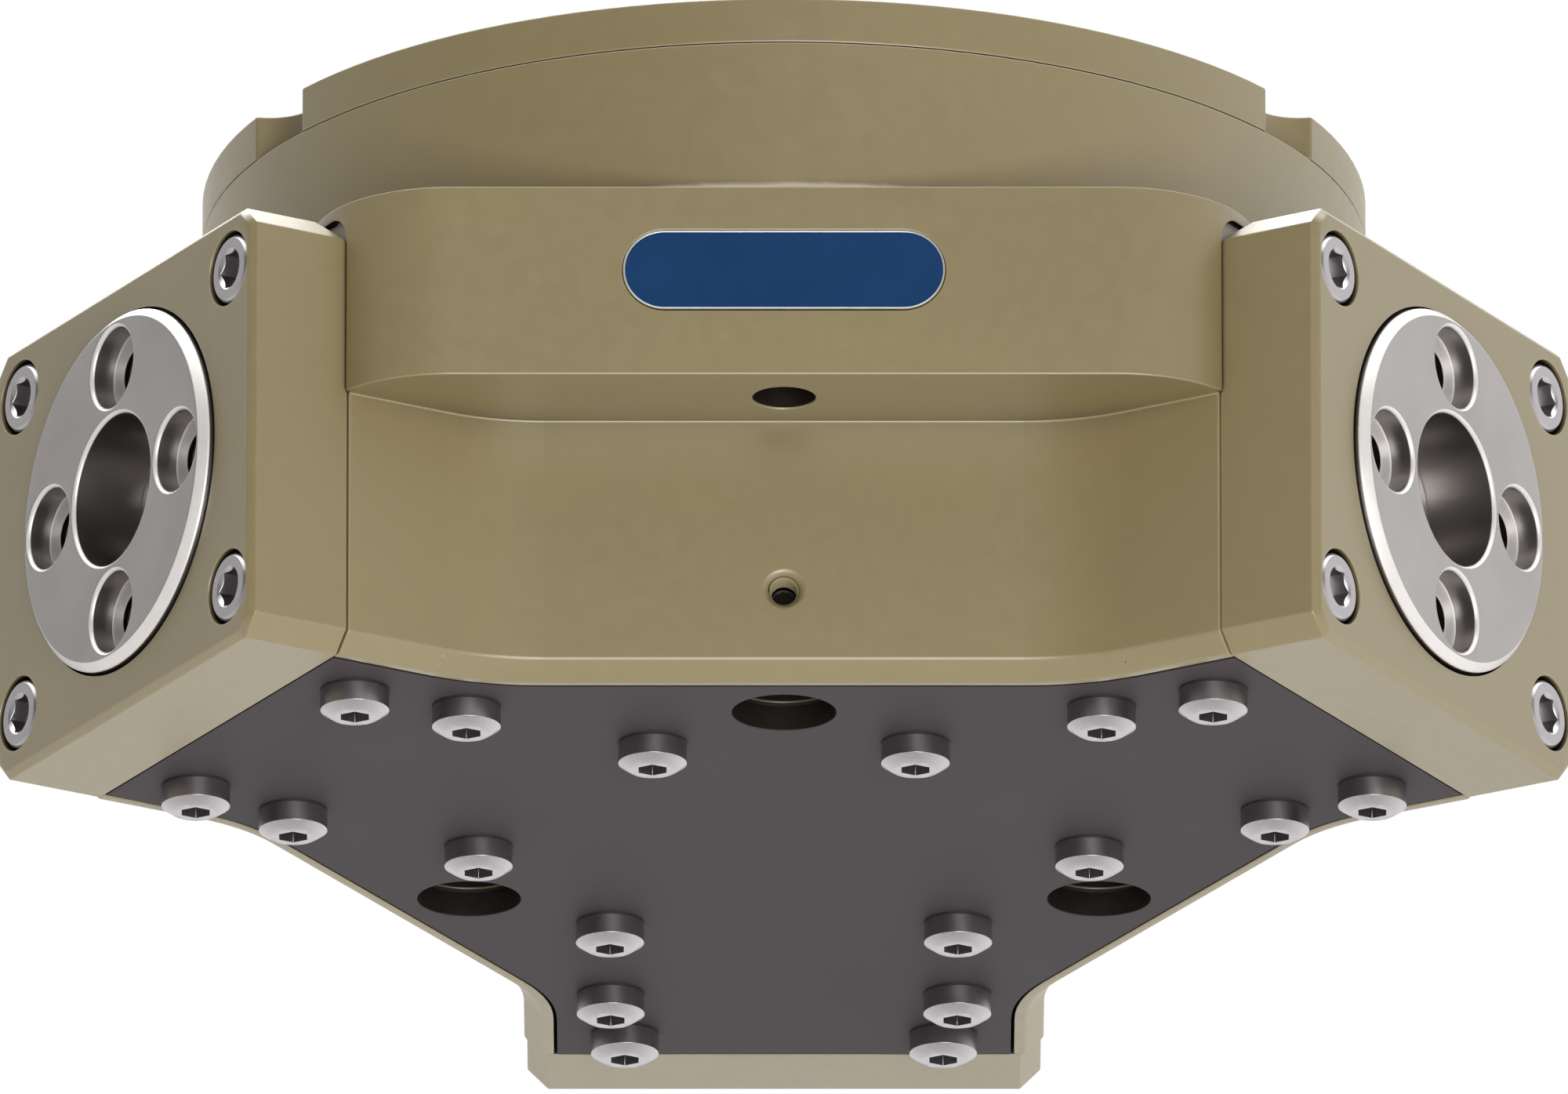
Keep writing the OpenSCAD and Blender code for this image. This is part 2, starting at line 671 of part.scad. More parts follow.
module mounting_flange() {
  color(olive) difference() {
    translate([0, 0, -flange_t]) cylinder(r = body_r, h = flange_t, $fn = 180);
    translate([0, 0, -centring_depth]) cylinder(d = centring_d, h = far);
    at_arms() translate([body_r + scallop_out, 0, -far]) cylinder(r = scallop_r, h = 2 * far);
    at_noses() for (r = [outer_bolt_r, inner_bolt_r])
      translate([r, 0, -far]) cylinder(d = bolt_hole_d, h = 2 * far);
    for (side = [-1, 1]) translate([side * dowel_r, 0, -dowel_depth]) cylinder(d = dowel_d, h = far);
    at_flange_screws() {
      translate([0, 0, -far]) cylinder(r = flange_screw_d / 2 + screw_gap, h = 2 * far);
      translate([0, 0, flange_screw_seat_z]) cylinder(r = flange_head_d / 2 + head_gap, h = far);
    }
    for (place = port_places) translate(place) {
      translate([0, 0, -far]) cylinder(d = port_d, h = 2 * far);
      translate([0, 0, -port_ring_d]) cylinder(d = port_seat_d, h = far);
    }
  }
}

module flange_screws() {
  color(steel) at_flange_screws() translate([0, 0, flange_screw_seat_z])
    cap_screw(flange_screw_d, flange_screw_length, flange_head_d, flange_head_h, flange_hex);
}

module cylinder_o_ring() {
  color(seal_black) translate([0, 0, -flange_t - cylinder_ring_d / 2])
    torus(cylinder_ring_r, cylinder_ring_d);
}

module port_o_rings() {
  ring_r = (port_seat_d - port_ring_d) / 2 - seat_gap;
  color(seal_black) {
    for (place = port_places) translate([0, 0, -port_ring_d / 2] + place) torus(ring_r, port_ring_d);
    translate([0, 0, -flange_t - port_ring_d / 2] + port_places[0]) torus(ring_r, port_ring_d);
  }
}

// ---- drive ----

module rod_bush() {
  color(band_tan) translate([0, 0, ceiling_z])
    ring(rod_r + slide_gap, rod_r + rod_bush_t, rod_bush_l - seat_gap);
}

module rod_seal() {
  color(seal_black) translate([0, 0, rod_seal_z + seat_gap])
    ring(rod_r + slide_gap, rod_r + rod_seal_t, rod_seal_h - 2 * seat_gap);
}

module drive_piston() {
  r = cylinder_r - piston_gap;
  color("#a9a8a2") difference() {
    union() {
      translate([0, 0, piston_z]) cylinder(r1 = r - piston_chamfer, r2 = r, h = piston_chamfer);
      translate([0, 0, piston_z + piston_chamfer]) cylinder(r = r, h = piston_t - piston_chamfer);
    }
    translate([0, 0, piston_seal_z])
      ring(cylinder_r - piston_seal_t - seat_gap, cylinder_r + over, piston_seal_w);
    translate([0, 0, piston_band_z])
      ring(cylinder_r - band_t - seat_gap, cylinder_r + over, piston_band_w);
    translate([0, 0, piston_z - over]) cylinder(r = rod_r + seat_gap, h = rod_recess + over);
    translate([0, 0, piston_z]) cylinder(r = piston_screw_d / 2 + screw_gap, h = far);
    translate([0, 0, piston_screw_seat_z]) cylinder(r = piston_head_d / 2 + head_gap, h = far);
  }
}

module piston_seal() {
  color(seal_black) translate([0, 0, piston_seal_z + seat_gap])
    ring(cylinder_r - piston_seal_t, cylinder_r - slide_gap, piston_seal_w - 2 * seat_gap);
}

module piston_guide_band() {
  color(band_tan) translate([0, 0, piston_band_z + seat_gap])
    ring(cylinder_r - band_t, cylinder_r - slide_gap, piston_band_w - 2 * seat_gap);
}

module piston_screw() {
  color(steel) translate([0, 0, piston_screw_seat_z])
    cap_screw(piston_screw_d, piston_screw_length, piston_head_d, piston_head_h, piston_hex);
}

// T-shaped space or hook along the slope, grown by a gap
module t_profile(length, gap, root) {
  translate([-neck_l - gap, -neck_w / 2 - gap, -length / 2])
    cube([neck_l + gap + root, neck_w + 2 * gap, length]);
  translate([-neck_l - head_t - gap, -head_w / 2 - gap, -length / 2])
    cube([head_t + 2 * gap, head_w + 2 * gap, length]);
}

// three sided wedge with an inclined T-slot in each face, and the piston rod on top
module wedge_hub() {
  color("#8d8b89") difference() {
    union() {
      difference() {
        translate([0, 0, hub_bottom_z]) cylinder(r = hub_r, h = hub_top_z - hub_bottom_z);
        at_noses() translate([hub_side_d, -far, -far]) cube([far, 2 * far, far]);
        at_arms() on_slope() {
          translate([-face_gap, -far, -far]) cube([far, 2 * far, 2 * far]);
          t_profile(far, hook_gap, over);
        }
      }
      translate([0, 0, hub_top_z - over])
        cylinder(r = rod_r, h = piston_z + rod_recess - hub_top_z + over);
    }
    translate([0, 0, piston_screw_seat_z - piston_screw_length - over])
      cylinder(r = piston_screw_d / 2 + seat_gap, h = far);
  }
}

// ---- jaws ----

// one seat for a centring sleeve with the finger thread below it, opening at z = 0
module finger_hole() {
  mouth_hole(sleeve_d, sleeve_depth, mouth_chamfer);
  translate([0, 0, -sleeve_depth - finger_thread_l]) cylinder(d = finger_thread_d, h = far);
}

module base_jaw(i) {
  color(steel) at_arm(i) difference() {
    union() {
      difference() {
        along_jaw(jaw_inner_a) {
          cylinder(r = jaw_r, h = jaw_face_a - jaw_inner_a - jaw_chamfer);
          translate([0, 0, jaw_face_a - jaw_inner_a - jaw_chamfer])
            cylinder(r1 = jaw_r, r2 = jaw_r - jaw_chamfer, h = jaw_chamfer);
        }
        on_slope() translate([-far, -far, -far]) cube([far, 2 * far, 2 * far]);
      }
      on_slope() t_profile(hook_l, 0, over);
    }
    along_jaw(jaw_face_a) {
      mouth_hole(jaw_bore_d, jaw_bore_depth, mouth_chamfer);
      for (k = [0:3]) rotate(90 * k) translate([finger_bolt_r, 0, 0]) finger_hole();
    }
    for (a = jaw_band_places) along_jaw(a)
      ring(jaw_hole_r - band_t - seat_gap, jaw_hole_r + over, jaw_band_w);
  }
}

module jaw_guide_bands(i) {
  color(band_tan) at_arm(i) for (a = jaw_band_places) along_jaw(a + seat_gap)
    ring(jaw_hole_r - band_t, jaw_hole_r - slide_gap, jaw_band_w - 2 * seat_gap);
}

// ---- end plates ----

// upright outline of an end plate with its four corners cut
module end_plate_outline() {
  c = plate_corner;
  w = plate_half_w;
  polygon([[-w + c, bottom_z], [w - c, bottom_z], [w, bottom_z + c], [w, plate_top_z - c],
    [w - c, plate_top_z], [-w + c, plate_top_z], [-w, plate_top_z - c], [-w, bottom_z + c]]);
}

// removes the edge between the face z = 0 and a wall at distance d along +X
module face_chamfer(d) {
  translate([d, 0, -plate_edge]) rotate([0, -45, 0]) translate([0, -far, 0]) cube([far, 2 * far, far]);
}

module end_plate(i) {
  mid_z = (plate_top_z + bottom_z) / 2;
  half_h = end_plate_h / 2;
  corner_d = (plate_half_w + half_h - plate_corner) * cos(45);
  color(olive) at_arm(i) difference() {
    translate([arm_length, 0, 0]) rotate([90, 0, 90]) linear_extrude(end_plate_t) end_plate_outline();
    // chamfers round the outer face
    translate([plate_face_a, 0, mid_z]) rotate([90, 0, 90]) for (turn = [0:3]) rotate(90 * turn) {
      face_chamfer(turn % 2 == 0 ? plate_half_w : half_h);
      rotate(45) face_chamfer(corner_d);
    }
    // relief behind the top edge
    translate([arm_length, 0, plate_top_z - plate_relief]) rotate([0, -45, 0])
      translate([-far, -far, 0]) cube([2 * far, 2 * far, far]);
    along_jaw(arm_length - over) cylinder(r = plate_hole_r, h = far);
    along_jaw(seal_a) ring(jaw_r, plate_hole_r + seal_t, jaw_seal_w);
    along_jaw(wiper_a) ring(jaw_r, plate_hole_r + seal_t, wiper_w);
    along_jaw(arm_length - over) o_ring_groove(plate_ring_r, plate_ring_d, plate_ring_d + over);
    at_end_screws() {
      translate([0, 0, arm_length - over]) cylinder(r = screw_d / 2 + screw_gap, h = far);
      translate([0, 0, end_screw_seat_a]) cylinder(r = end_head_d / 2 + head_gap, h = far);
    }
  }
}

module end_plate_screws() {
  color(steel) at_arms() at_end_screws() translate([0, 0, end_screw_seat_a])
    cap_screw(screw_d, end_screw_length, end_head_d, end_head_h, end_hex);
}

module end_plate_o_ring(i) {
  color(seal_black) at_arm(i) along_jaw(arm_length + plate_ring_d / 2) torus(plate_ring_r, plate_ring_d);
}

module jaw_seal(i) {
  color(seal_black) at_arm(i) along_jaw(seal_a + seat_gap)
    ring(jaw_r + slide_gap, plate_hole_r + seal_t - seat_gap, jaw_seal_w - 2 * seat_gap);
}

module jaw_wiper(i) {
  color(seal_black) at_arm(i) along_jaw(wiper_a + seat_gap)
    ring(jaw_r + slide_gap, plate_hole_r + seal_t - seat_gap, wiper_w - 2 * seat_gap);
}

// ---- jaw cover ----

module front_cover() {
  color(dark_coat) difference() {
    translate([0, 0, bottom_z]) linear_extrude(cover_t) cover_outline(cover_gap);
    translate([0, 0, bottom_z - over]) {
      at_cover_screws() cylinder(r = screw_d / 2 + screw_gap, h = far);
      at_noses() translate([inner_bolt_r, 0, 0]) cylinder(d = access_hole_d, h = far);
    }
  }
}

module cover_gasket() {
  color(seal_black) difference() {
    translate([0, 0, cover_in_z]) linear_extrude(gasket_t) cover_outline(cover_gap);
    translate([0, 0, bottom_z]) {
      at_cover_screws() cylinder(r = screw_d / 2 + screw_gap, h = far);
      at_noses() translate([inner_bolt_r, 0, 0]) cylinder(r = access_hole_d / 2 + screw_gap, h = far);
      linear_extrude(far) cavity_outline();
    }
  }
}

module cover_screws() {
  color(steel) translate([0, 0, bottom_z - cover_seal_t]) at_cover_screws() cover_screw();
}

module cover_screw_seals() {
  color(seal_black) translate([0, 0, bottom_z - cover_seal_t]) at_cover_screws()
    ring(screw_d / 2 + seat_gap, cover_head_d / 2, cover_seal_t);
}

module label_plate() {
  color(label_blue) rotate(-90) translate([nose_d - label_depth, 0, bottom_z + label_z_h])
    rotate([90, 0, 90]) linear_extrude(label_t) stadium(label_w, label_h);
}

housing();
mounting_flange();
flange_screws();
cylinder_o_ring();
port_o_rings();
rod_bush();
rod_seal();
front_cover();
cover_gasket();
cover_screws();
cover_screw_seals();
end_plate(0);  // end_plate_1
end_plate(1);  // end_plate_2
end_plate(2);  // end_plate_3
end_plate_screws();
end_plate_o_ring(0);  // end_plate_o_ring_1
end_plate_o_ring(1);  // end_plate_o_ring_2
end_plate_o_ring(2);  // end_plate_o_ring_3
jaw_seal(0);  // jaw_seal_1
jaw_seal(1);  // jaw_seal_2
jaw_seal(2);  // jaw_seal_3
jaw_wiper(0);  // jaw_wiper_1
jaw_wiper(1);  // jaw_wiper_2
jaw_wiper(2);  // jaw_wiper_3
label_plate();
drive_piston();
piston_seal();
piston_guide_band();
wedge_hub();
piston_screw();
base_jaw(0);  // base_jaw_1
base_jaw(1);  // base_jaw_2
base_jaw(2);  // base_jaw_3
jaw_guide_bands(0);  // jaw_guide_bands_1
jaw_guide_bands(1);  // jaw_guide_bands_2
jaw_guide_bands(2);  // jaw_guide_bands_3
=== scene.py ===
# Three jaw centric gripper: finishes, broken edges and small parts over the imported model
import json
import math

import bpy
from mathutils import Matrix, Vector

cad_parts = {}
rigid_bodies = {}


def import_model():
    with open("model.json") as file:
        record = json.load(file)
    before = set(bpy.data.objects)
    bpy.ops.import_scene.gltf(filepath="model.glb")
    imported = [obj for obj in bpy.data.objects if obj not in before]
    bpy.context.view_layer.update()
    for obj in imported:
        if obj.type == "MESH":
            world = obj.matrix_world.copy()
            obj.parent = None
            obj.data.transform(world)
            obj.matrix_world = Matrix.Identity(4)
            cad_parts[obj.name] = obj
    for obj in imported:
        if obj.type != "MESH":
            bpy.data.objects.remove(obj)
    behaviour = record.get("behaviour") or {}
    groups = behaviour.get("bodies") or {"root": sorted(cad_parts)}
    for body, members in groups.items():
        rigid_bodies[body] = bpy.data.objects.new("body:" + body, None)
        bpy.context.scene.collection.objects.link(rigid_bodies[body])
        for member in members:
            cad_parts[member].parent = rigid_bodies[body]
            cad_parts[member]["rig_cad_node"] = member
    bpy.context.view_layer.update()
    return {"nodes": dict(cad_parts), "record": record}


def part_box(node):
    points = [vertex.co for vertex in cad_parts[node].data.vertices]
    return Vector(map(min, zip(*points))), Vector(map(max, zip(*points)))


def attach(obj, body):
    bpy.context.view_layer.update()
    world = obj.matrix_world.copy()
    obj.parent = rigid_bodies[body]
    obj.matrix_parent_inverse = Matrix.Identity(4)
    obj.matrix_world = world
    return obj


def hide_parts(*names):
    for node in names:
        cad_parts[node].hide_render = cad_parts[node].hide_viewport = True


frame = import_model()


# ---------------------------------------------------------------------------
# Housing
# One block of aluminium with three bored arms and three noses. It is milled
# all over, its edges are broken, and it is hard anodised to a matt olive.
# ---------------------------------------------------------------------------

mm = 0.001
block_edge = 0.35 * mm


def linear(hex_colour):
    """A linear RGBA colour from an sRGB hex value."""
    channels = [int(hex_colour[i:i + 2], 16) / 255 for i in (1, 3, 5)]
    return [c / 12.92 if c <= 0.04045 else ((c + 0.055) / 1.055) ** 2.4 for c in channels] + [1.0]


def add_node(tree, kind, settings, links):
    """Adds a node: settings by input or property name, and the outputs that feed its inputs."""
    node = tree.nodes.new("ShaderNode" + kind)
    for name, value in settings.items():
        if isinstance(name, int) or name in node.inputs:
            node.inputs[name].default_value = value
        else:
            setattr(node, name, value)
    for name, output in links.items():
        tree.links.new(output, node.inputs[name])
    return node


def new_finish(name):
    """An empty finish: material, node tree, the place on the piece, and the surface shader."""
    finish = bpy.data.materials.new(name)
    finish.use_nodes = True
    tree = finish.node_tree
    place = add_node(tree, "TexCoord", {}, {}).outputs["Object"]
    return finish, tree, place, tree.nodes["Principled BSDF"]


def machined_copy(node_name, piece_name, body, finish):
    """A copy of a machined CAD piece with its flat triangles joined, standing for that piece."""
    same_point, same_plane = 0.001 * mm, math.radians(0.5)
    bpy.ops.object.select_all(action="DESELECT")
    node = frame["nodes"][node_name]
    node.select_set(True)
    bpy.context.view_layer.objects.active = node
    bpy.ops.object.duplicate()
    piece = bpy.context.object
    piece.name = piece.data.name = piece_name
    del piece["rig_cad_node"]
    bpy.ops.mesh.customdata_custom_splitnormals_clear()
    bpy.ops.object.mode_set(mode="EDIT")
    bpy.ops.mesh.select_all(action="SELECT")
    bpy.ops.mesh.remove_doubles(threshold=same_point)
    bpy.ops.mesh.dissolve_limited(angle_limit=same_plane)
    bpy.ops.object.mode_set(mode="OBJECT")
    piece.data.materials.clear()
    piece.data.materials.append(finish)
    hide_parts(node_name)
    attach(piece, body)
    return piece


def break_edges(piece, width):
    """Breaks the sharp edges of a machined piece, and keeps the shading of its flats flat."""
    sharp, smooth = math.radians(35), math.radians(40)
    bpy.ops.object.mode_set(mode="EDIT")
    bpy.ops.mesh.select_all(action="SELECT")
    bpy.ops.mesh.quads_convert_to_tris(quad_method="BEAUTY", ngon_method="BEAUTY")
    bpy.ops.object.mode_set(mode="OBJECT")
    edges = piece.modifiers.new("broken edges", "BEVEL")
    edges.width = width
    edges.segments = 2
    edges.limit_method = "ANGLE"
    edges.angle_limit = sharp
    edges.use_clamp_overlap = False
    edges.loop_slide = False
    bpy.ops.object.modifier_apply(modifier=edges.name)
    bpy.ops.object.shade_smooth_by_angle(angle=smooth)
    flat = piece.modifiers.new("flat faces", "WEIGHTED_NORMAL")
    flat.mode, flat.weight, flat.keep_sharp = "FACE_AREA", 50, True
    bpy.ops.object.modifier_apply(modifier=flat.name)


# Hard anodised aluminium, blasted first: the thick oxide is a satin olive skin with slow drifts of
# tone and a fine grain, a little paler at the edges, partly from rubbing and partly as a painted
# highlight.
# Holes and tight corners get painted shade: their colour is darkened and their sheen lowered. The
# real grain is about a third as wide, and is drawn wide enough to show.
hard_anodised, tree, place, shader = new_finish("hard_anodised_aluminium_olive")
tone_drift, mottle_size, blast_grain = 70 * mm, 2.5 * mm, 0.3 * mm
rub_and_highlight_width, hollow_reach = 0.5 * mm, 20 * mm
factor, face_colour, edge_colour, mixed = 0, 6, 7, 2  # a Mix node's sockets for colours, by number
tone = add_node(tree, "TexNoise", {"Scale": 1 / tone_drift, "Detail": 4.0}, {"Vector": place})
olive = add_node(tree, "ValToRGB", {}, {"Fac": tone.outputs["Fac"]})
olive.color_ramp.elements[0].position, olive.color_ramp.elements[1].position = 0.3, 0.7
olive.color_ramp.elements[0].color = linear("#7C6E49")
olive.color_ramp.elements[1].color = linear("#82744D")
mottle = add_node(tree, "TexNoise", {"Scale": 1 / mottle_size, "Detail": 3.0}, {"Vector": place})
shade = add_node(tree, "MapRange", {"To Min": 0.97, "To Max": 1.03},
                 {"Value": mottle.outputs["Fac"]})
toned = add_node(tree, "VectorMath", {"operation": "SCALE"},
                 {"Vector": olive.outputs["Color"], "Scale": shade.outputs["Result"]})
# Paler edges: partly edge wear, partly a painted highlight for the light that edges catch.
rounded = add_node(tree, "Bevel", {"samples": 4, "Radius": rub_and_highlight_width}, {})
surface = add_node(tree, "NewGeometry", {}, {})
turned = add_node(tree, "VectorMath", {"operation": "DOT_PRODUCT"},
                  {0: rounded.outputs["Normal"], 1: surface.outputs["Normal"]})
rub_and_highlight_mask = add_node(tree, "MapRange", {"From Min": 0.995, "From Max": 0.9, "To Min": 0.0,
                                  "To Max": 0.22}, {"Value": turned.outputs["Value"]})
rub_and_highlight = add_node(tree, "Mix", {"data_type": "RGBA", edge_colour: linear("#C9C2A8")},
                {factor: rub_and_highlight_mask.outputs["Result"], face_colour: toned.outputs["Vector"]})
rub_and_highlight.name = "worn colour"
# Painted shade: the base colour is darkened and the sheen lowered where ambient occlusion finds the
# surface enclosed.
hollow = add_node(tree, "AmbientOcclusion", {"samples": 12, "Distance": hollow_reach}, {})
painted_shade = add_node(tree, "MapRange", {"From Min": 0.3, "From Max": 0.56, "To Min": 0.03,
                                     "To Max": 1.0}, {"Value": hollow.outputs["AO"]})
skin = add_node(tree, "VectorMath", {"operation": "SCALE"},
                {"Vector": rub_and_highlight.outputs[mixed], "Scale": painted_shade.outputs["Result"]})
sheen = add_node(tree, "MapRange", {"From Min": 0.12, "From Max": 0.35, "To Min": 0.03,
                                    "To Max": 0.6}, {"Value": hollow.outputs["AO"]})
gloss = add_node(tree, "MapRange", {"To Min": 0.36, "To Max": 0.48},
                 {"Value": mottle.outputs["Fac"]})
grain = add_node(tree, "TexNoise", {"Scale": 1 / blast_grain, "Detail": 2.0}, {"Vector": place})
relief = add_node(tree, "Bump", {"Strength": 0.15, "Distance": 0.01 * mm},
                  {"Height": grain.outputs["Fac"]})
shader.inputs["IOR"].default_value = 1.7  # aluminium oxide
tree.links.new(skin.outputs["Vector"], shader.inputs["Base Color"])
tree.links.new(sheen.outputs["Result"], shader.inputs["Specular IOR Level"])
tree.links.new(gloss.outputs["Result"], shader.inputs["Roughness"])
tree.links.new(relief.outputs["Normal"], shader.inputs["Normal"])

housing = machined_copy("housing", "milled_housing", "body", hard_anodised)

# The fillet at the foot of the round body is coarse in places, so its band is taken
# out and laid again between its two rims. The ledge that it stands on stays.
root_fillet, slack, straight_up = 2.1 * mm, 0.05 * mm, 0.9999
new_rows, roundness = 6, 0.6
body_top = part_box("housing")[1].z
corners = housing.data.vertices
body_r = max(v.co.xy.length for v in corners if v.co.z > body_top - slack)
foot = max(v.co.z for v in corners if v.co.xy.length > body_r + 1.5 * root_fillet)
bpy.ops.object.mode_set(mode="EDIT")
bpy.ops.mesh.select_mode(type="FACE")
bpy.ops.mesh.select_all(action="DESELECT")
bpy.ops.object.mode_set(mode="OBJECT")
for face in housing.data.polygons:
    places = [corners[i].co for i in face.vertices]
    at_foot = all(-slack < place.z - foot < root_fillet + slack for place in places)
    near_body = all(-slack < place.xy.length - body_r < root_fillet + slack for place in places)
    face.select = at_foot and near_body and face.normal.z < straight_up
bpy.ops.object.mode_set(mode="EDIT")
bpy.ops.mesh.delete(type="FACE")
bpy.ops.mesh.select_mode(type="EDGE")
bpy.ops.mesh.select_non_manifold(extend=False)
bpy.ops.mesh.bridge_edge_loops(number_cuts=new_rows, interpolation="SURFACE",
                               smoothness=roundness)
bpy.ops.mesh.select_mode(type="VERT")
bpy.ops.object.mode_set(mode="OBJECT")
break_edges(housing, block_edge)

# Painted shade for drilled holes: their walls take a brown black, nearly dull finish.
painted_shade_bore, tree, place, shader = new_finish("drilled_aluminium_dark_as_painted_shade")
shade_mottle_size = 2 * mm
shade_mottle = add_node(tree, "TexNoise", {"Scale": 1 / shade_mottle_size, "Detail": 3.0}, {"Vector": place})
brown = add_node(tree, "ValToRGB", {}, {"Fac": shade_mottle.outputs["Fac"]})
brown.color_ramp.elements[0].color = linear("#14110E")
brown.color_ramp.elements[1].color = linear("#1E1914")
gloss = add_node(tree, "MapRange", {"To Min": 0.5, "To Max": 0.7}, {"Value": shade_mottle.outputs["Fac"]})
relief = add_node(tree, "Bump", {"Strength": 0.1, "Distance": 0.01 * mm},
                  {"Height": shade_mottle.outputs["Fac"]})
shader.inputs["Specular IOR Level"].default_value = 0.1
tree.links.new(brown.outputs["Color"], shader.inputs["Base Color"])
tree.links.new(gloss.outputs["Result"], shader.inputs["Roughness"])
tree.links.new(relief.outputs["Normal"], shader.inputs["Normal"])

# The ways for the mounting screws stand where the record's openings are. Each wall is
# found within a hair more than its hole's radius.
wall_reach = {"access_hole": 7.55 * mm, "nose_hole": 4.55 * mm, "screw_hole": 4.55 * mm}
screw_ways = []
for opening in frame["record"]["physics"]["openings"]:
    kind = opening["name"].rsplit("_", 1)[0]
    if kind in wall_reach:
        low, high = (Vector(corner) for corner in opening["box_m"])
        screw_ways.append(((low + high).xy / 2, wall_reach[kind]))


def shade_screw_ways(piece):
    """Gives the walls of the mounting screws' holes in a piece the dark finish of painted shade."""
    upright = 0.3
    piece.data.materials.append(painted_shade_bore)
    for face in piece.data.polygons:
        inside = any((face.center.xy - spot).length < reach for spot, reach in screw_ways)
        if inside and abs(face.normal.z) < upright:
            face.material_index = 1


shade_screw_ways(housing)


def tapped_thread(start, inward, hole_r, pitch, depth):
    """The ridge of a tapped thread: a three-sided bar wound into a hole from its mouth."""
    bar_r = 0.19 * pitch
    off_wall, stretch_along, steps_a_turn = 0.4 * bar_r, 2.2, 24
    bpy.ops.object.select_all(action="DESELECT")
    bpy.ops.mesh.primitive_circle_add(vertices=3, radius=bar_r, location=(hole_r - off_wall, 0, 0),
                                      rotation=(math.pi / 2, -math.pi / 2, 0))
    helix = bpy.context.object
    bpy.ops.object.transform_apply()
    bpy.ops.object.mode_set(mode="EDIT")
    bpy.ops.mesh.select_all(action="SELECT")
    bpy.ops.transform.resize(value=(1, 1, stretch_along))
    bpy.ops.object.mode_set(mode="OBJECT")
    wound = helix.modifiers.new("thread", "SCREW")
    wound.screw_offset = pitch
    wound.iterations = int(depth / pitch) - 1
    wound.steps = wound.render_steps = steps_a_turn
    bpy.ops.object.modifier_apply(modifier=wound.name)
    bpy.ops.object.mode_set(mode="EDIT")
    bpy.ops.mesh.select_all(action="SELECT")
    bpy.ops.mesh.fill_holes(sides=3)
    bpy.ops.mesh.normals_make_consistent(inside=False)
    bpy.ops.object.mode_set(mode="OBJECT")
    helix.rotation_euler = inward.to_track_quat("Z", "Y").to_euler()
    helix.location = start
    bpy.ops.object.transform_apply()
    bpy.ops.object.shade_smooth_by_angle(angle=math.radians(40))
    return helix


# The purge port is tapped before the anodising, so its thread is olive too, without the painted
# shade that darkens the colour in deep holes.
anodised_thread = hard_anodised.copy()
anodised_thread.name = "hard_anodised_tapped_aluminium"
tree = anodised_thread.node_tree
tree.links.new(tree.nodes["worn colour"].outputs[mixed],
               tree.nodes["Principled BSDF"].inputs["Base Color"])
mounts = {mount["name"]: mount for mount in frame["record"]["mounts"]}
port = mounts["purge_port"]
port_axis, port_depth, port_pitch = Vector(port["axis"]), port["dims"]["length_mm"] * mm, 0.8 * mm
port_mouth = Vector(port["pos_m"]) + port_axis * port_depth / 2
port_thread = tapped_thread(port_mouth, -port_axis, port["dims"]["r_mm"] * mm, port_pitch,
                            port_depth)
port_thread.name = port_thread.data.name = "purge_port_thread"
port_thread.data.materials.append(anodised_thread)
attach(port_thread, "body")


# ---------------------------------------------------------------------------
# Mounting flange and its screws
# A round plate of the same aluminium and finish that closes the cylinder and
# carries the gripper. Six socket head screws hold it from the robot's side.
# ---------------------------------------------------------------------------

screw_edge = 0.05 * mm
piece = machined_copy("mounting_flange", "turned_mounting_flange", "body",
                      hard_anodised)
break_edges(piece, block_edge)

# Plain bright steel, upset and machined: clean light grey with a satin sheen.
bright_steel, tree, place, shader = new_finish("machined_screw_steel")
tone_patch, tool_line = 3 * mm, 0.15 * mm
tone = add_node(tree, "TexNoise", {"Scale": 1 / tone_patch, "Detail": 3.0}, {"Vector": place})
grey = add_node(tree, "ValToRGB", {}, {"Fac": tone.outputs["Fac"]})
grey.color_ramp.elements[0].color = linear("#989496")
grey.color_ramp.elements[1].color = linear("#A09C9E")
gloss = add_node(tree, "MapRange", {"To Min": 0.26, "To Max": 0.36}, {"Value": tone.outputs["Fac"]})
tooled = add_node(tree, "TexNoise", {"Scale": 1 / tool_line, "Detail": 2.0}, {"Vector": place})
relief = add_node(tree, "Bump", {"Strength": 0.08, "Distance": 0.01 * mm},
                  {"Height": tooled.outputs["Fac"]})
shader.inputs["Metallic"].default_value = 1.0
tree.links.new(grey.outputs["Color"], shader.inputs["Base Color"])
tree.links.new(gloss.outputs["Result"], shader.inputs["Roughness"])
tree.links.new(relief.outputs["Normal"], shader.inputs["Normal"])

piece = machined_copy("flange_screws", "flange_socket_screws", "body", bright_steel)
break_edges(piece, screw_edge)


# ---------------------------------------------------------------------------
# Seals of the cylinder, the ports and the rod
# Nitrile O-rings and a lip ring that keep the air in, and a bronze bush that
# guides the rod. All are pressed into turned grooves and hardly seen.
# ---------------------------------------------------------------------------

def dress(finish, *names):
    """Gives CAD pieces a finish."""
    for name in names:
        node = frame["nodes"][name]
        node.data.materials.clear()
        node.data.materials.append(finish)


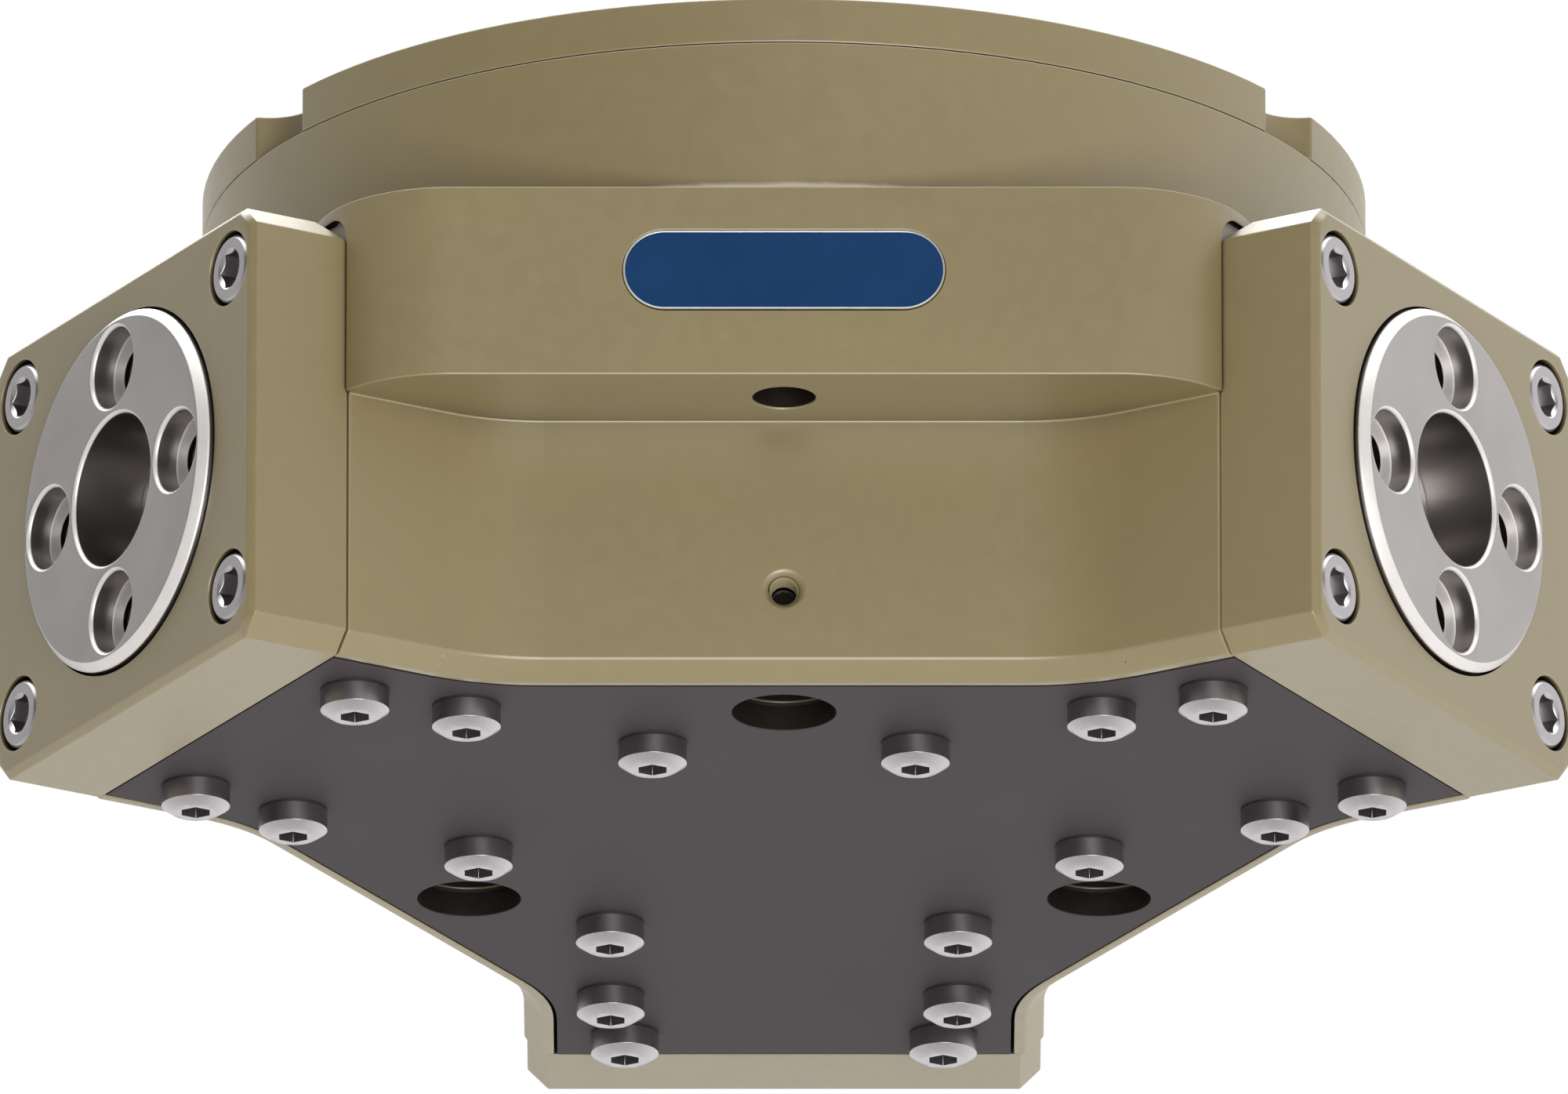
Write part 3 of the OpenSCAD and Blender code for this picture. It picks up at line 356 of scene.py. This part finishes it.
# Moulded nitrile rubber: near black, dull, with a faint skin.
nitrile, tree, place, shader = new_finish("moulded_nitrile_rubber")
tone_patch, skin_grain = 4 * mm, 0.3 * mm
tone = add_node(tree, "TexNoise", {"Scale": 1 / tone_patch, "Detail": 3.0}, {"Vector": place})
black = add_node(tree, "ValToRGB", {}, {"Fac": tone.outputs["Fac"]})
black.color_ramp.elements[0].color = linear("#131313")
black.color_ramp.elements[1].color = linear("#1D1C1C")
gloss = add_node(tree, "MapRange", {"To Min": 0.5, "To Max": 0.65}, {"Value": tone.outputs["Fac"]})
skin = add_node(tree, "TexNoise", {"Scale": 1 / skin_grain, "Detail": 2.0}, {"Vector": place})
relief = add_node(tree, "Bump", {"Strength": 0.1, "Distance": 0.01 * mm},
                  {"Height": skin.outputs["Fac"]})
tree.links.new(black.outputs["Color"], shader.inputs["Base Color"])
tree.links.new(gloss.outputs["Result"], shader.inputs["Roughness"])
tree.links.new(relief.outputs["Normal"], shader.inputs["Normal"])
dress(nitrile, "cylinder_o_ring", "port_o_rings", "rod_seal")

# Sintered bronze: warm brown gold, porous and oily.
sintered_bronze, tree, place, shader = new_finish("sintered_bronze")
pore_spacing = 0.4 * mm
pores = add_node(tree, "TexNoise", {"Scale": 1 / pore_spacing, "Detail": 3.0}, {"Vector": place})
bronze = add_node(tree, "ValToRGB", {}, {"Fac": pores.outputs["Fac"]})
bronze.color_ramp.elements[0].color = linear("#8A6436")
bronze.color_ramp.elements[1].color = linear("#A77C48")
gloss = add_node(tree, "MapRange", {"To Min": 0.35, "To Max": 0.5}, {"Value": pores.outputs["Fac"]})
relief = add_node(tree, "Bump", {"Strength": 0.2, "Distance": 0.02 * mm},
                  {"Height": pores.outputs["Fac"]})
shader.inputs["Metallic"].default_value = 1.0
tree.links.new(bronze.outputs["Color"], shader.inputs["Base Color"])
tree.links.new(gloss.outputs["Result"], shader.inputs["Roughness"])
tree.links.new(relief.outputs["Normal"], shader.inputs["Normal"])
dress(sintered_bronze, "rod_bush")


# ---------------------------------------------------------------------------
# Piston, wedge hub and the screw between them
# The piston is turned from aluminium. The hub is case hardened steel, milled
# and ground, and its three slanted T-slots pull the jaws. One screw joins them.
# ---------------------------------------------------------------------------

# Turned aluminium: pale, with fine rings round the axis.
turned_aluminium, tree, place, shader = new_finish("turned_aluminium")
unit_wave = 0.314  # metres from ring to ring in a wave texture of scale 1
turning_feed = 0.4 * mm
rings = add_node(tree, "TexWave", {"wave_type": "RINGS", "rings_direction": "Z",
                                   "Scale": unit_wave / turning_feed, "Distortion": 0.4},
                 {"Vector": place})
pale = add_node(tree, "ValToRGB", {}, {"Fac": rings.outputs["Fac"]})
pale.color_ramp.elements[0].color = linear("#A5A49F")
pale.color_ramp.elements[1].color = linear("#B0AFA9")
gloss = add_node(tree, "MapRange", {"To Min": 0.3, "To Max": 0.4}, {"Value": rings.outputs["Fac"]})
relief = add_node(tree, "Bump", {"Strength": 0.15, "Distance": 0.01 * mm},
                  {"Height": rings.outputs["Fac"]})
shader.inputs["Metallic"].default_value = 1.0
tree.links.new(pale.outputs["Color"], shader.inputs["Base Color"])
tree.links.new(gloss.outputs["Result"], shader.inputs["Roughness"])
tree.links.new(relief.outputs["Normal"], shader.inputs["Normal"])
dress(turned_aluminium, "drive_piston")
dress(nitrile, "piston_seal")

# Case hardened steel, ground: darker grey with straight grinding lines.
hardened_steel, tree, place, shader = new_finish("case_hardened_ground_steel")
line_length, lines_closer = 3 * mm, 12
along = add_node(tree, "Mapping", {"Scale": (1, lines_closer, 1)}, {"Vector": place})
lines = add_node(tree, "TexNoise", {"Scale": 1 / line_length, "Detail": 4.0},
                 {"Vector": along.outputs["Vector"]})
dark = add_node(tree, "ValToRGB", {}, {"Fac": lines.outputs["Fac"]})
dark.color_ramp.elements[0].color = linear("#858381")
dark.color_ramp.elements[1].color = linear("#93918F")
gloss = add_node(tree, "MapRange", {"To Min": 0.28, "To Max": 0.4}, {"Value": lines.outputs["Fac"]})
relief = add_node(tree, "Bump", {"Strength": 0.1, "Distance": 0.01 * mm},
                  {"Height": lines.outputs["Fac"]})
shader.inputs["Metallic"].default_value = 1.0
tree.links.new(dark.outputs["Color"], shader.inputs["Base Color"])
tree.links.new(gloss.outputs["Result"], shader.inputs["Roughness"])
tree.links.new(relief.outputs["Normal"], shader.inputs["Normal"])
dress(hardened_steel, "wedge_hub")
dress(bright_steel, "piston_screw")

# Filled PTFE strip: tan, waxy.
guide_strip, tree, place, shader = new_finish("filled_ptfe_guide_strip")
fleck_size = 0.8 * mm
fleck = add_node(tree, "TexNoise", {"Scale": 1 / fleck_size, "Detail": 3.0}, {"Vector": place})
tan = add_node(tree, "ValToRGB", {}, {"Fac": fleck.outputs["Fac"]})
tan.color_ramp.elements[0].color = linear("#7A5B3C")
tan.color_ramp.elements[1].color = linear("#8A6A48")
gloss = add_node(tree, "MapRange", {"To Min": 0.4, "To Max": 0.55}, {"Value": fleck.outputs["Fac"]})
relief = add_node(tree, "Bump", {"Strength": 0.1, "Distance": 0.01 * mm},
                  {"Height": fleck.outputs["Fac"]})
tree.links.new(tan.outputs["Color"], shader.inputs["Base Color"])
tree.links.new(gloss.outputs["Result"], shader.inputs["Roughness"])
tree.links.new(relief.outputs["Normal"], shader.inputs["Normal"])
dress(guide_strip, "piston_guide_band")


# ---------------------------------------------------------------------------
# Base jaws
# Three round steel slides, hardened and ground, whose face turning leaves fine
# rings. Each has a centring bore and four threads with seats for fit sleeves.
# ---------------------------------------------------------------------------

jaw_face, jaw_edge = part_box("base_jaw_1")[1].y, 0.2 * mm
seat_r, sleeve_depth, thread_depth, thread_pitch = 6 * mm, 3.9 * mm, 14 * mm, 1.25 * mm

# Painted highlight at the chamfers and seat floors: pale steel, softly bright from any side.
painted_highlight_steel, tree, place, shader = new_finish("steel_pale_as_painted_highlight")
tone_patch, tool_line = 2 * mm, 0.2 * mm
tone = add_node(tree, "TexNoise", {"Scale": 1 / tone_patch, "Detail": 2.0}, {"Vector": place})
pale = add_node(tree, "ValToRGB", {}, {"Fac": tone.outputs["Fac"]})
pale.color_ramp.elements[0].color = linear("#CFCBC8")
pale.color_ramp.elements[1].color = linear("#D9D5D2")
gloss = add_node(tree, "MapRange", {"To Min": 0.38, "To Max": 0.46}, {"Value": tone.outputs["Fac"]})
tooled = add_node(tree, "TexNoise", {"Scale": 1 / tool_line, "Detail": 2.0}, {"Vector": place})
relief = add_node(tree, "Bump", {"Strength": 0.05, "Distance": 0.01 * mm},
                  {"Height": tooled.outputs["Fac"]})
shader.inputs["Metallic"].default_value = 0.35
tree.links.new(pale.outputs["Color"], shader.inputs["Base Color"])
tree.links.new(gloss.outputs["Result"], shader.inputs["Roughness"])
tree.links.new(relief.outputs["Normal"], shader.inputs["Normal"])

# Painted shade for the tapped holes: nearly black steel, glinting on the crests.
painted_shade_thread, tree, place, shader = new_finish("tapped_steel_dark_as_painted_shade")
tone_patch, shade_ripple = 1 * mm, 0.4 * mm
tone = add_node(tree, "TexNoise", {"Scale": 1 / tone_patch, "Detail": 2.0}, {"Vector": place})
dark = add_node(tree, "ValToRGB", {}, {"Fac": tone.outputs["Fac"]})
dark.color_ramp.elements[0].color = linear("#2A2826")
dark.color_ramp.elements[1].color = linear("#373432")
gloss = add_node(tree, "MapRange", {"To Min": 0.35, "To Max": 0.5}, {"Value": tone.outputs["Fac"]})
shade_mottle = add_node(tree, "TexNoise", {"Scale": 1 / shade_ripple, "Detail": 2.0}, {"Vector": place})
relief = add_node(tree, "Bump", {"Strength": 0.1, "Distance": 0.01 * mm},
                  {"Height": shade_mottle.outputs["Fac"]})
shader.inputs["Metallic"].default_value = 0.9
tree.links.new(dark.outputs["Color"], shader.inputs["Base Color"])
tree.links.new(gloss.outputs["Result"], shader.inputs["Roughness"])
tree.links.new(relief.outputs["Normal"], shader.inputs["Normal"])

for number in (1, 2, 3):
    bolts = mounts[f"jaw_{number}_bolts"]
    outward = Vector(bolts["axis"])
    axis_height = bolts["pos_m"][2]

    # Ground hardened steel: even grey, the rings of the facing cut, a soft sheen.
    # The rings are drawn a few times wider apart than the real feed, so that they show.
    ground_steel, tree, place, shader = new_finish(f"ground_hardened_steel_{number}")
    facing_rings, tone_patch = 0.3 * mm, 14 * mm
    heading = math.atan2(outward.y, outward.x)
    along = add_node(tree, "Mapping", {"vector_type": "TEXTURE", "Location": (0, 0, axis_height),
                                       "Rotation": (0, 0, heading)}, {"Vector": place})
    rings = add_node(tree, "TexWave", {"wave_type": "RINGS", "rings_direction": "X",
                                       "Scale": unit_wave / facing_rings, "Distortion": 0.5},
                     {"Vector": along.outputs["Vector"]})
    tone = add_node(tree, "TexNoise", {"Scale": 1 / tone_patch, "Detail": 4.0}, {"Vector": place})
    grey = add_node(tree, "ValToRGB", {}, {"Fac": tone.outputs["Fac"]})
    grey.color_ramp.elements[0].position, grey.color_ramp.elements[1].position = 0.35, 0.65
    grey.color_ramp.elements[0].color = linear("#8F8B89")
    grey.color_ramp.elements[1].color = linear("#979391")
    gloss = add_node(tree, "MapRange", {"To Min": 0.27, "To Max": 0.35},
                     {"Value": tone.outputs["Fac"]})
    relief = add_node(tree, "Bump", {"Strength": 0.05, "Distance": 0.01 * mm},
                      {"Height": rings.outputs["Fac"]})
    shader.inputs["Metallic"].default_value = 1.0
    tree.links.new(grey.outputs["Color"], shader.inputs["Base Color"])
    tree.links.new(gloss.outputs["Result"], shader.inputs["Roughness"])
    tree.links.new(relief.outputs["Normal"], shader.inputs["Normal"])
    jaw = machined_copy(f"base_jaw_{number}", f"ground_jaw_{number}", f"jaw_{number}",
                        ground_steel)
    break_edges(jaw, jaw_edge)

    # The seat floors and the chamfers get a painted highlight, and the threads below the seats a
    # painted shade.
    jaw.data.materials.append(painted_highlight_steel)
    jaw.data.materials.append(painted_shade_thread)
    below_seat, below_chamfer = sleeve_depth + 0.3 * mm, sleeve_depth + 1 * mm
    below_face, thread_reach = 1 * mm, 0.7 * seat_r
    sideways = Vector((-outward.y, outward.x, 0))
    reach = bolts["dims"]["pcd_mm"] * mm / 2
    spots = [sideways * reach * x + Vector((0, 0, axis_height + reach * z))
             for x, z in ((0, 1), (1, 0), (0, -1), (-1, 0))]
    for face in jaw.data.polygons:
        along_axis = face.center.dot(outward)
        depth = jaw_face - along_axis
        in_thread = min((face.center - outward * along_axis - spot).length
                        for spot in spots) < thread_reach
        facing = face.normal.dot(outward)
        chamfer, floor_of_seat = 0.2 < facing < 0.95, facing > 0.95 and depth > below_face
        if depth > below_seat and in_thread:
            face.material_index = 2
        elif depth < below_chamfer and (chamfer or floor_of_seat):
            face.material_index = 1

    turns = []
    for spot in spots:
        start = outward * (jaw_face - sleeve_depth - thread_pitch) + spot
        turns.append(tapped_thread(start, -outward, bolts["dims"]["hole_r_mm"] * mm,
                                   thread_pitch, thread_depth))
    bpy.ops.object.select_all(action="DESELECT")
    for helix in turns:
        helix.select_set(True)
    bpy.context.view_layer.objects.active = turns[0]
    bpy.ops.object.join()
    threads = bpy.context.object
    threads.name = threads.data.name = f"finger_threads_{number}"
    # Painted shade: the thread ridges take the nearly black finish.
    threads.data.materials.append(painted_shade_thread)
    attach(threads, f"jaw_{number}")

dress(guide_strip, "jaw_guide_bands_1", "jaw_guide_bands_2", "jaw_guide_bands_3")


# ---------------------------------------------------------------------------
# End plates
# A thick anodised plate closes each arm round its jaw. A lip seal and a wiper
# sit in its bore, an O-ring behind it, and four sunk socket screws hold it.
# ---------------------------------------------------------------------------

plate_edge = 0.2 * mm
for number in (1, 2, 3):
    piece = machined_copy(f"end_plate_{number}", f"jaw_end_plate_{number}", "body",
                          hard_anodised)
    break_edges(piece, plate_edge)
    dress(nitrile, f"end_plate_o_ring_{number}", f"jaw_seal_{number}", f"jaw_wiper_{number}")
piece = machined_copy("end_plate_screws", "end_plate_socket_screws", "body",
                      bright_steel)
break_edges(piece, screw_edge)


# ---------------------------------------------------------------------------
# Jaw cover
# A flat plate with a dark coating closes the jaw space from below, on a thin
# rubber gasket. Eighteen flat-coned screws with sealing rings hold it.
# ---------------------------------------------------------------------------

# Baked dark coating on aluminium: warm near-black grey, dull, very fine orange peel.
dark_coating, tree, place, shader = new_finish("baked_dark_coating")
tone_patch, peel_size = 25 * mm, 0.6 * mm
tone = add_node(tree, "TexNoise", {"Scale": 1 / tone_patch, "Detail": 4.0}, {"Vector": place})
charcoal = add_node(tree, "ValToRGB", {}, {"Fac": tone.outputs["Fac"]})
charcoal.color_ramp.elements[0].position, charcoal.color_ramp.elements[1].position = 0.35, 0.65
charcoal.color_ramp.elements[0].color = linear("#3F3A3C")
charcoal.color_ramp.elements[1].color = linear("#443F41")
peel = add_node(tree, "TexNoise", {"Scale": 1 / peel_size, "Detail": 2.0}, {"Vector": place})
gloss = add_node(tree, "MapRange", {"To Min": 0.55, "To Max": 0.7}, {"Value": tone.outputs["Fac"]})
relief = add_node(tree, "Bump", {"Strength": 0.15, "Distance": 0.01 * mm},
                  {"Height": peel.outputs["Fac"]})
# Painted shade: the coating's colour darkens in holes, in tight corners and round the screw heads.
hollow = add_node(tree, "AmbientOcclusion", {"samples": 12, "Distance": hollow_reach}, {})
painted_shade = add_node(tree, "MapRange", {"From Min": 0.3, "From Max": 0.56, "To Min": 0.03,
                                     "To Max": 1.0}, {"Value": hollow.outputs["AO"]})
skin = add_node(tree, "VectorMath", {"operation": "SCALE"},
                {"Vector": charcoal.outputs["Color"], "Scale": painted_shade.outputs["Result"]})
shader.inputs["Specular IOR Level"].default_value = 0.12
tree.links.new(skin.outputs["Vector"], shader.inputs["Base Color"])
tree.links.new(gloss.outputs["Result"], shader.inputs["Roughness"])
tree.links.new(relief.outputs["Normal"], shader.inputs["Normal"])

cover_edge = 0.15 * mm
piece = machined_copy("front_cover", "coated_jaw_cover", "body", dark_coating)
break_edges(piece, cover_edge)
shade_screw_ways(piece)
piece = machined_copy("cover_screws", "cover_cone_screws", "body", bright_steel)
break_edges(piece, screw_edge)
dress(nitrile, "cover_gasket", "cover_screw_seals")


# ---------------------------------------------------------------------------
# Label
# A thin round-ended aluminium plate, printed dark blue up to a bare line at its
# rim and left without words, glued in a shallow pocket of the front nose.
# ---------------------------------------------------------------------------

# Screen print on aluminium: deep even blue under a clear satin lacquer.
printed_blue, tree, place, shader = new_finish("screen_printed_blue")
tone_patch, ink_grain = 10 * mm, 0.25 * mm
tone = add_node(tree, "TexNoise", {"Scale": 1 / tone_patch, "Detail": 3.0}, {"Vector": place})
blue = add_node(tree, "ValToRGB", {}, {"Fac": tone.outputs["Fac"]})
blue.color_ramp.elements[0].color = linear("#08315A")
blue.color_ramp.elements[1].color = linear("#0B3863")
gloss = add_node(tree, "MapRange", {"To Min": 0.3, "To Max": 0.38}, {"Value": tone.outputs["Fac"]})
ink = add_node(tree, "TexNoise", {"Scale": 1 / ink_grain, "Detail": 1.0}, {"Vector": place})
relief = add_node(tree, "Bump", {"Strength": 0.05, "Distance": 0.005 * mm},
                  {"Height": ink.outputs["Fac"]})
shader.inputs["Specular IOR Level"].default_value = 0.3
tree.links.new(blue.outputs["Color"], shader.inputs["Base Color"])
tree.links.new(gloss.outputs["Result"], shader.inputs["Roughness"])
tree.links.new(relief.outputs["Normal"], shader.inputs["Normal"])

# Bare aluminium at the label's rim: pale, brushed lengthwise.
bare_rim, tree, place, shader = new_finish("brushed_label_aluminium")
brush_line, lengthened = 0.1 * mm, 0.05
along = add_node(tree, "Mapping", {"Scale": (lengthened, 1, 1)}, {"Vector": place})
brush = add_node(tree, "TexNoise", {"Scale": 1 / brush_line, "Detail": 2.0},
                 {"Vector": along.outputs["Vector"]})
silver = add_node(tree, "ValToRGB", {}, {"Fac": brush.outputs["Fac"]})
silver.color_ramp.elements[0].color = linear("#BDBAB0")
silver.color_ramp.elements[1].color = linear("#D2CFC6")
gloss = add_node(tree, "MapRange", {"To Min": 0.3, "To Max": 0.45}, {"Value": brush.outputs["Fac"]})
relief = add_node(tree, "Bump", {"Strength": 0.1, "Distance": 0.005 * mm},
                  {"Height": brush.outputs["Fac"]})
shader.inputs["Metallic"].default_value = 1.0
tree.links.new(silver.outputs["Color"], shader.inputs["Base Color"])
tree.links.new(gloss.outputs["Result"], shader.inputs["Roughness"])
tree.links.new(relief.outputs["Normal"], shader.inputs["Normal"])

# The ends are rounded but for a flat of 0.2 mm, which the rim's inset needs. The print
# lies a hair below the rim.
low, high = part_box("label_plate")
width, thickness, height = high - low
end_r, end_segments = height / 2 - 0.1 * mm, 20
rim_width, print_slope, print_sunk = 0.22 * mm, 0.05 * mm, 0.03 * mm
bpy.ops.object.select_all(action="DESELECT")
bpy.ops.mesh.primitive_cube_add(size=1, location=(low + high) / 2,
                                scale=(width, thickness, height))
label = bpy.context.object
label.name = label.data.name = "bare_label"
bpy.ops.object.transform_apply()
bpy.ops.object.mode_set(mode="EDIT")
bpy.ops.mesh.select_mode(type="EDGE")
bpy.ops.mesh.select_all(action="DESELECT")
bpy.ops.object.mode_set(mode="OBJECT")
for edge in label.data.edges:
    a, b = (label.data.vertices[i].co for i in edge.vertices)
    edge.select = abs(a.y - b.y) > thickness / 2
bpy.ops.object.mode_set(mode="EDIT")
bpy.ops.mesh.bevel(offset=end_r, segments=end_segments, affect="EDGES")
bpy.ops.mesh.select_mode(type="FACE")
bpy.ops.mesh.select_all(action="DESELECT")
bpy.ops.object.mode_set(mode="OBJECT")
for face in label.data.polygons:
    face.select = face.normal.y < -0.9
bpy.ops.object.mode_set(mode="EDIT")
bpy.ops.mesh.inset(thickness=rim_width)
bpy.ops.mesh.inset(thickness=print_slope, depth=-print_sunk)
bpy.ops.mesh.select_mode(type="VERT")
bpy.ops.object.mode_set(mode="OBJECT")
label.data.materials.append(bare_rim)
label.data.materials.append(printed_blue)
for face in label.data.polygons:
    face.material_index = int(face.select)
bpy.ops.object.shade_smooth_by_angle(angle=math.radians(30))
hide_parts("label_plate")
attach(label, "body")


# ---------------------------------------------------------------------------
# Camera, backdrop and lights
# The gripper hangs as it does under a robot's wrist, well above a pale floor.
# A long lens looks up at it from the front, twenty degrees below level.
# ---------------------------------------------------------------------------

view_width, focal_length, sensor_width = 226.5 * mm, 1100.0, 36.0
distance, tilt = view_width * focal_length / sensor_width, math.radians(20.17)
aim = Vector((0, 0, -52.8 * mm))
bpy.ops.object.camera_add(location=aim - distance * Vector((0, math.cos(tilt), math.sin(tilt))),
                          rotation=(math.pi / 2 + tilt, 0, 0))
camera = bpy.context.object
camera.data.lens, camera.data.sensor_width = focal_length, sensor_width
camera.data.clip_start, camera.data.clip_end = 0.1, 100
bpy.context.scene.camera = camera

# Pale matt floor. Only its upper side is seen, and metals don't mirror it.
floor_height, floor_size = -1.5, 80.0
bpy.ops.object.select_all(action="DESELECT")
bpy.ops.mesh.primitive_plane_add(size=floor_size, location=(0, 0, floor_height))
floor = bpy.context.object
floor.name = "floor"
pale_floor = bpy.data.materials.new("pale_matt_floor")
pale_floor.use_nodes = True
tree = pale_floor.node_tree
tree.nodes.clear()
matt = add_node(tree, "BsdfDiffuse", {"Color": linear("#F4F4F2")}, {})
open_air = add_node(tree, "BsdfTransparent", {}, {})
facing = add_node(tree, "NewGeometry", {}, {})
floor_rays = add_node(tree, "LightPath", {}, {})
unseen = add_node(tree, "Math", {"operation": "MAXIMUM"},
                  {0: facing.outputs["Backfacing"], 1: floor_rays.outputs["Is Glossy Ray"]})
floor_mix = add_node(tree, "MixShader", {}, {0: unseen.outputs["Value"], 1: matt.outputs["BSDF"],
                                             2: open_air.outputs["BSDF"]})
add_node(tree, "OutputMaterial", {}, {"Surface": floor_mix.outputs["Shader"]})
floor.data.materials.append(pale_floor)

# White surround. The camera sees it plain white. Mirrored in the gripper it is dim in
# front, brighter behind, below and to the right, and brightest overhead. Apart from
# that it gives a faint, even fill.
surround = bpy.data.worlds.new("white_studio")
bpy.context.scene.world = surround
surround.use_nodes = True
tree = surround.node_tree
tree.nodes.clear()
toward = add_node(tree, "TexCoord", {}, {})
parts = add_node(tree, "SeparateXYZ", {}, {"Vector": toward.outputs["Generated"]})
behind = add_node(tree, "MapRange", {"From Min": -0.6, "From Max": 0.9, "To Min": 0.3,
                                     "To Max": 1.15}, {"Value": parts.outputs["Y"]})
right = add_node(tree, "MapRange", {"From Min": 0.2, "From Max": 0.9, "To Min": 0.0,
                                    "To Max": 0.65}, {"Value": parts.outputs["X"]})
below = add_node(tree, "MapRange", {"From Min": 0.1, "From Max": -0.3, "To Min": 0.0,
                                    "To Max": 0.45}, {"Value": parts.outputs["Z"]})
zenith = add_node(tree, "MapRange", {"From Min": 0.6, "From Max": 0.95, "To Min": 0.0,
                                     "To Max": 5.0}, {"Value": parts.outputs["Z"]})
ends = add_node(tree, "Math", {"operation": "ADD"},
                {0: below.outputs["Result"], 1: zenith.outputs["Result"]})
sides = add_node(tree, "Math", {"operation": "ADD"},
                 {0: behind.outputs["Result"], 1: right.outputs["Result"]})
seen_level = add_node(tree, "Math", {"operation": "ADD"},
                      {0: sides.outputs["Value"], 1: ends.outputs["Value"]})
rays = add_node(tree, "LightPath", {}, {})
backdrop = add_node(tree, "Background", {"Color": (1, 1, 1, 1), "Strength": 1.0}, {})
mirrored = add_node(tree, "Background", {"Color": (1, 1, 1, 1)},
                    {"Strength": seen_level.outputs["Value"]})
fill = add_node(tree, "Background", {"Color": (1, 1, 1, 1), "Strength": 0.18}, {})
light_mix = add_node(tree, "MixShader", {}, {0: rays.outputs["Is Glossy Ray"],
                                             1: fill.outputs["Background"],
                                             2: mirrored.outputs["Background"]})
world_mix = add_node(tree, "MixShader", {}, {0: rays.outputs["Is Camera Ray"],
                                             1: light_mix.outputs["Shader"],
                                             2: backdrop.outputs["Background"]})
add_node(tree, "OutputWorld", {}, {"Surface": world_mix.outputs["Shader"]})

# Soft lamps: one below in front, one above behind, and at each side a weaker one that
# isn't mirrored. Each has its place, its size in metres and its power in watts.
lamps = (("front", (0.26, -1.55, -0.72), 0.9, 26, True), ("top", (-0.3, 0.9, 1.6), 1.2, 36, True),
         ("left", (-1.5, 0.8, 0.2), 1.0, 7, False), ("right", (1.5, 0.5, 0.5), 1.2, 9, False))
for name, spot, size, power, is_mirrored in lamps:
    bpy.ops.object.light_add(type="AREA", location=spot)
    lamp = bpy.context.object
    lamp.name = name + "_lamp"
    lamp.data.size = size
    lamp.data.energy = power
    lamp.visible_glossy = is_mirrored
    lamp.rotation_euler = (aim - Vector(spot)).to_track_quat("-Z", "Y").to_euler()

bpy.context.scene.view_settings.view_transform = "Standard"
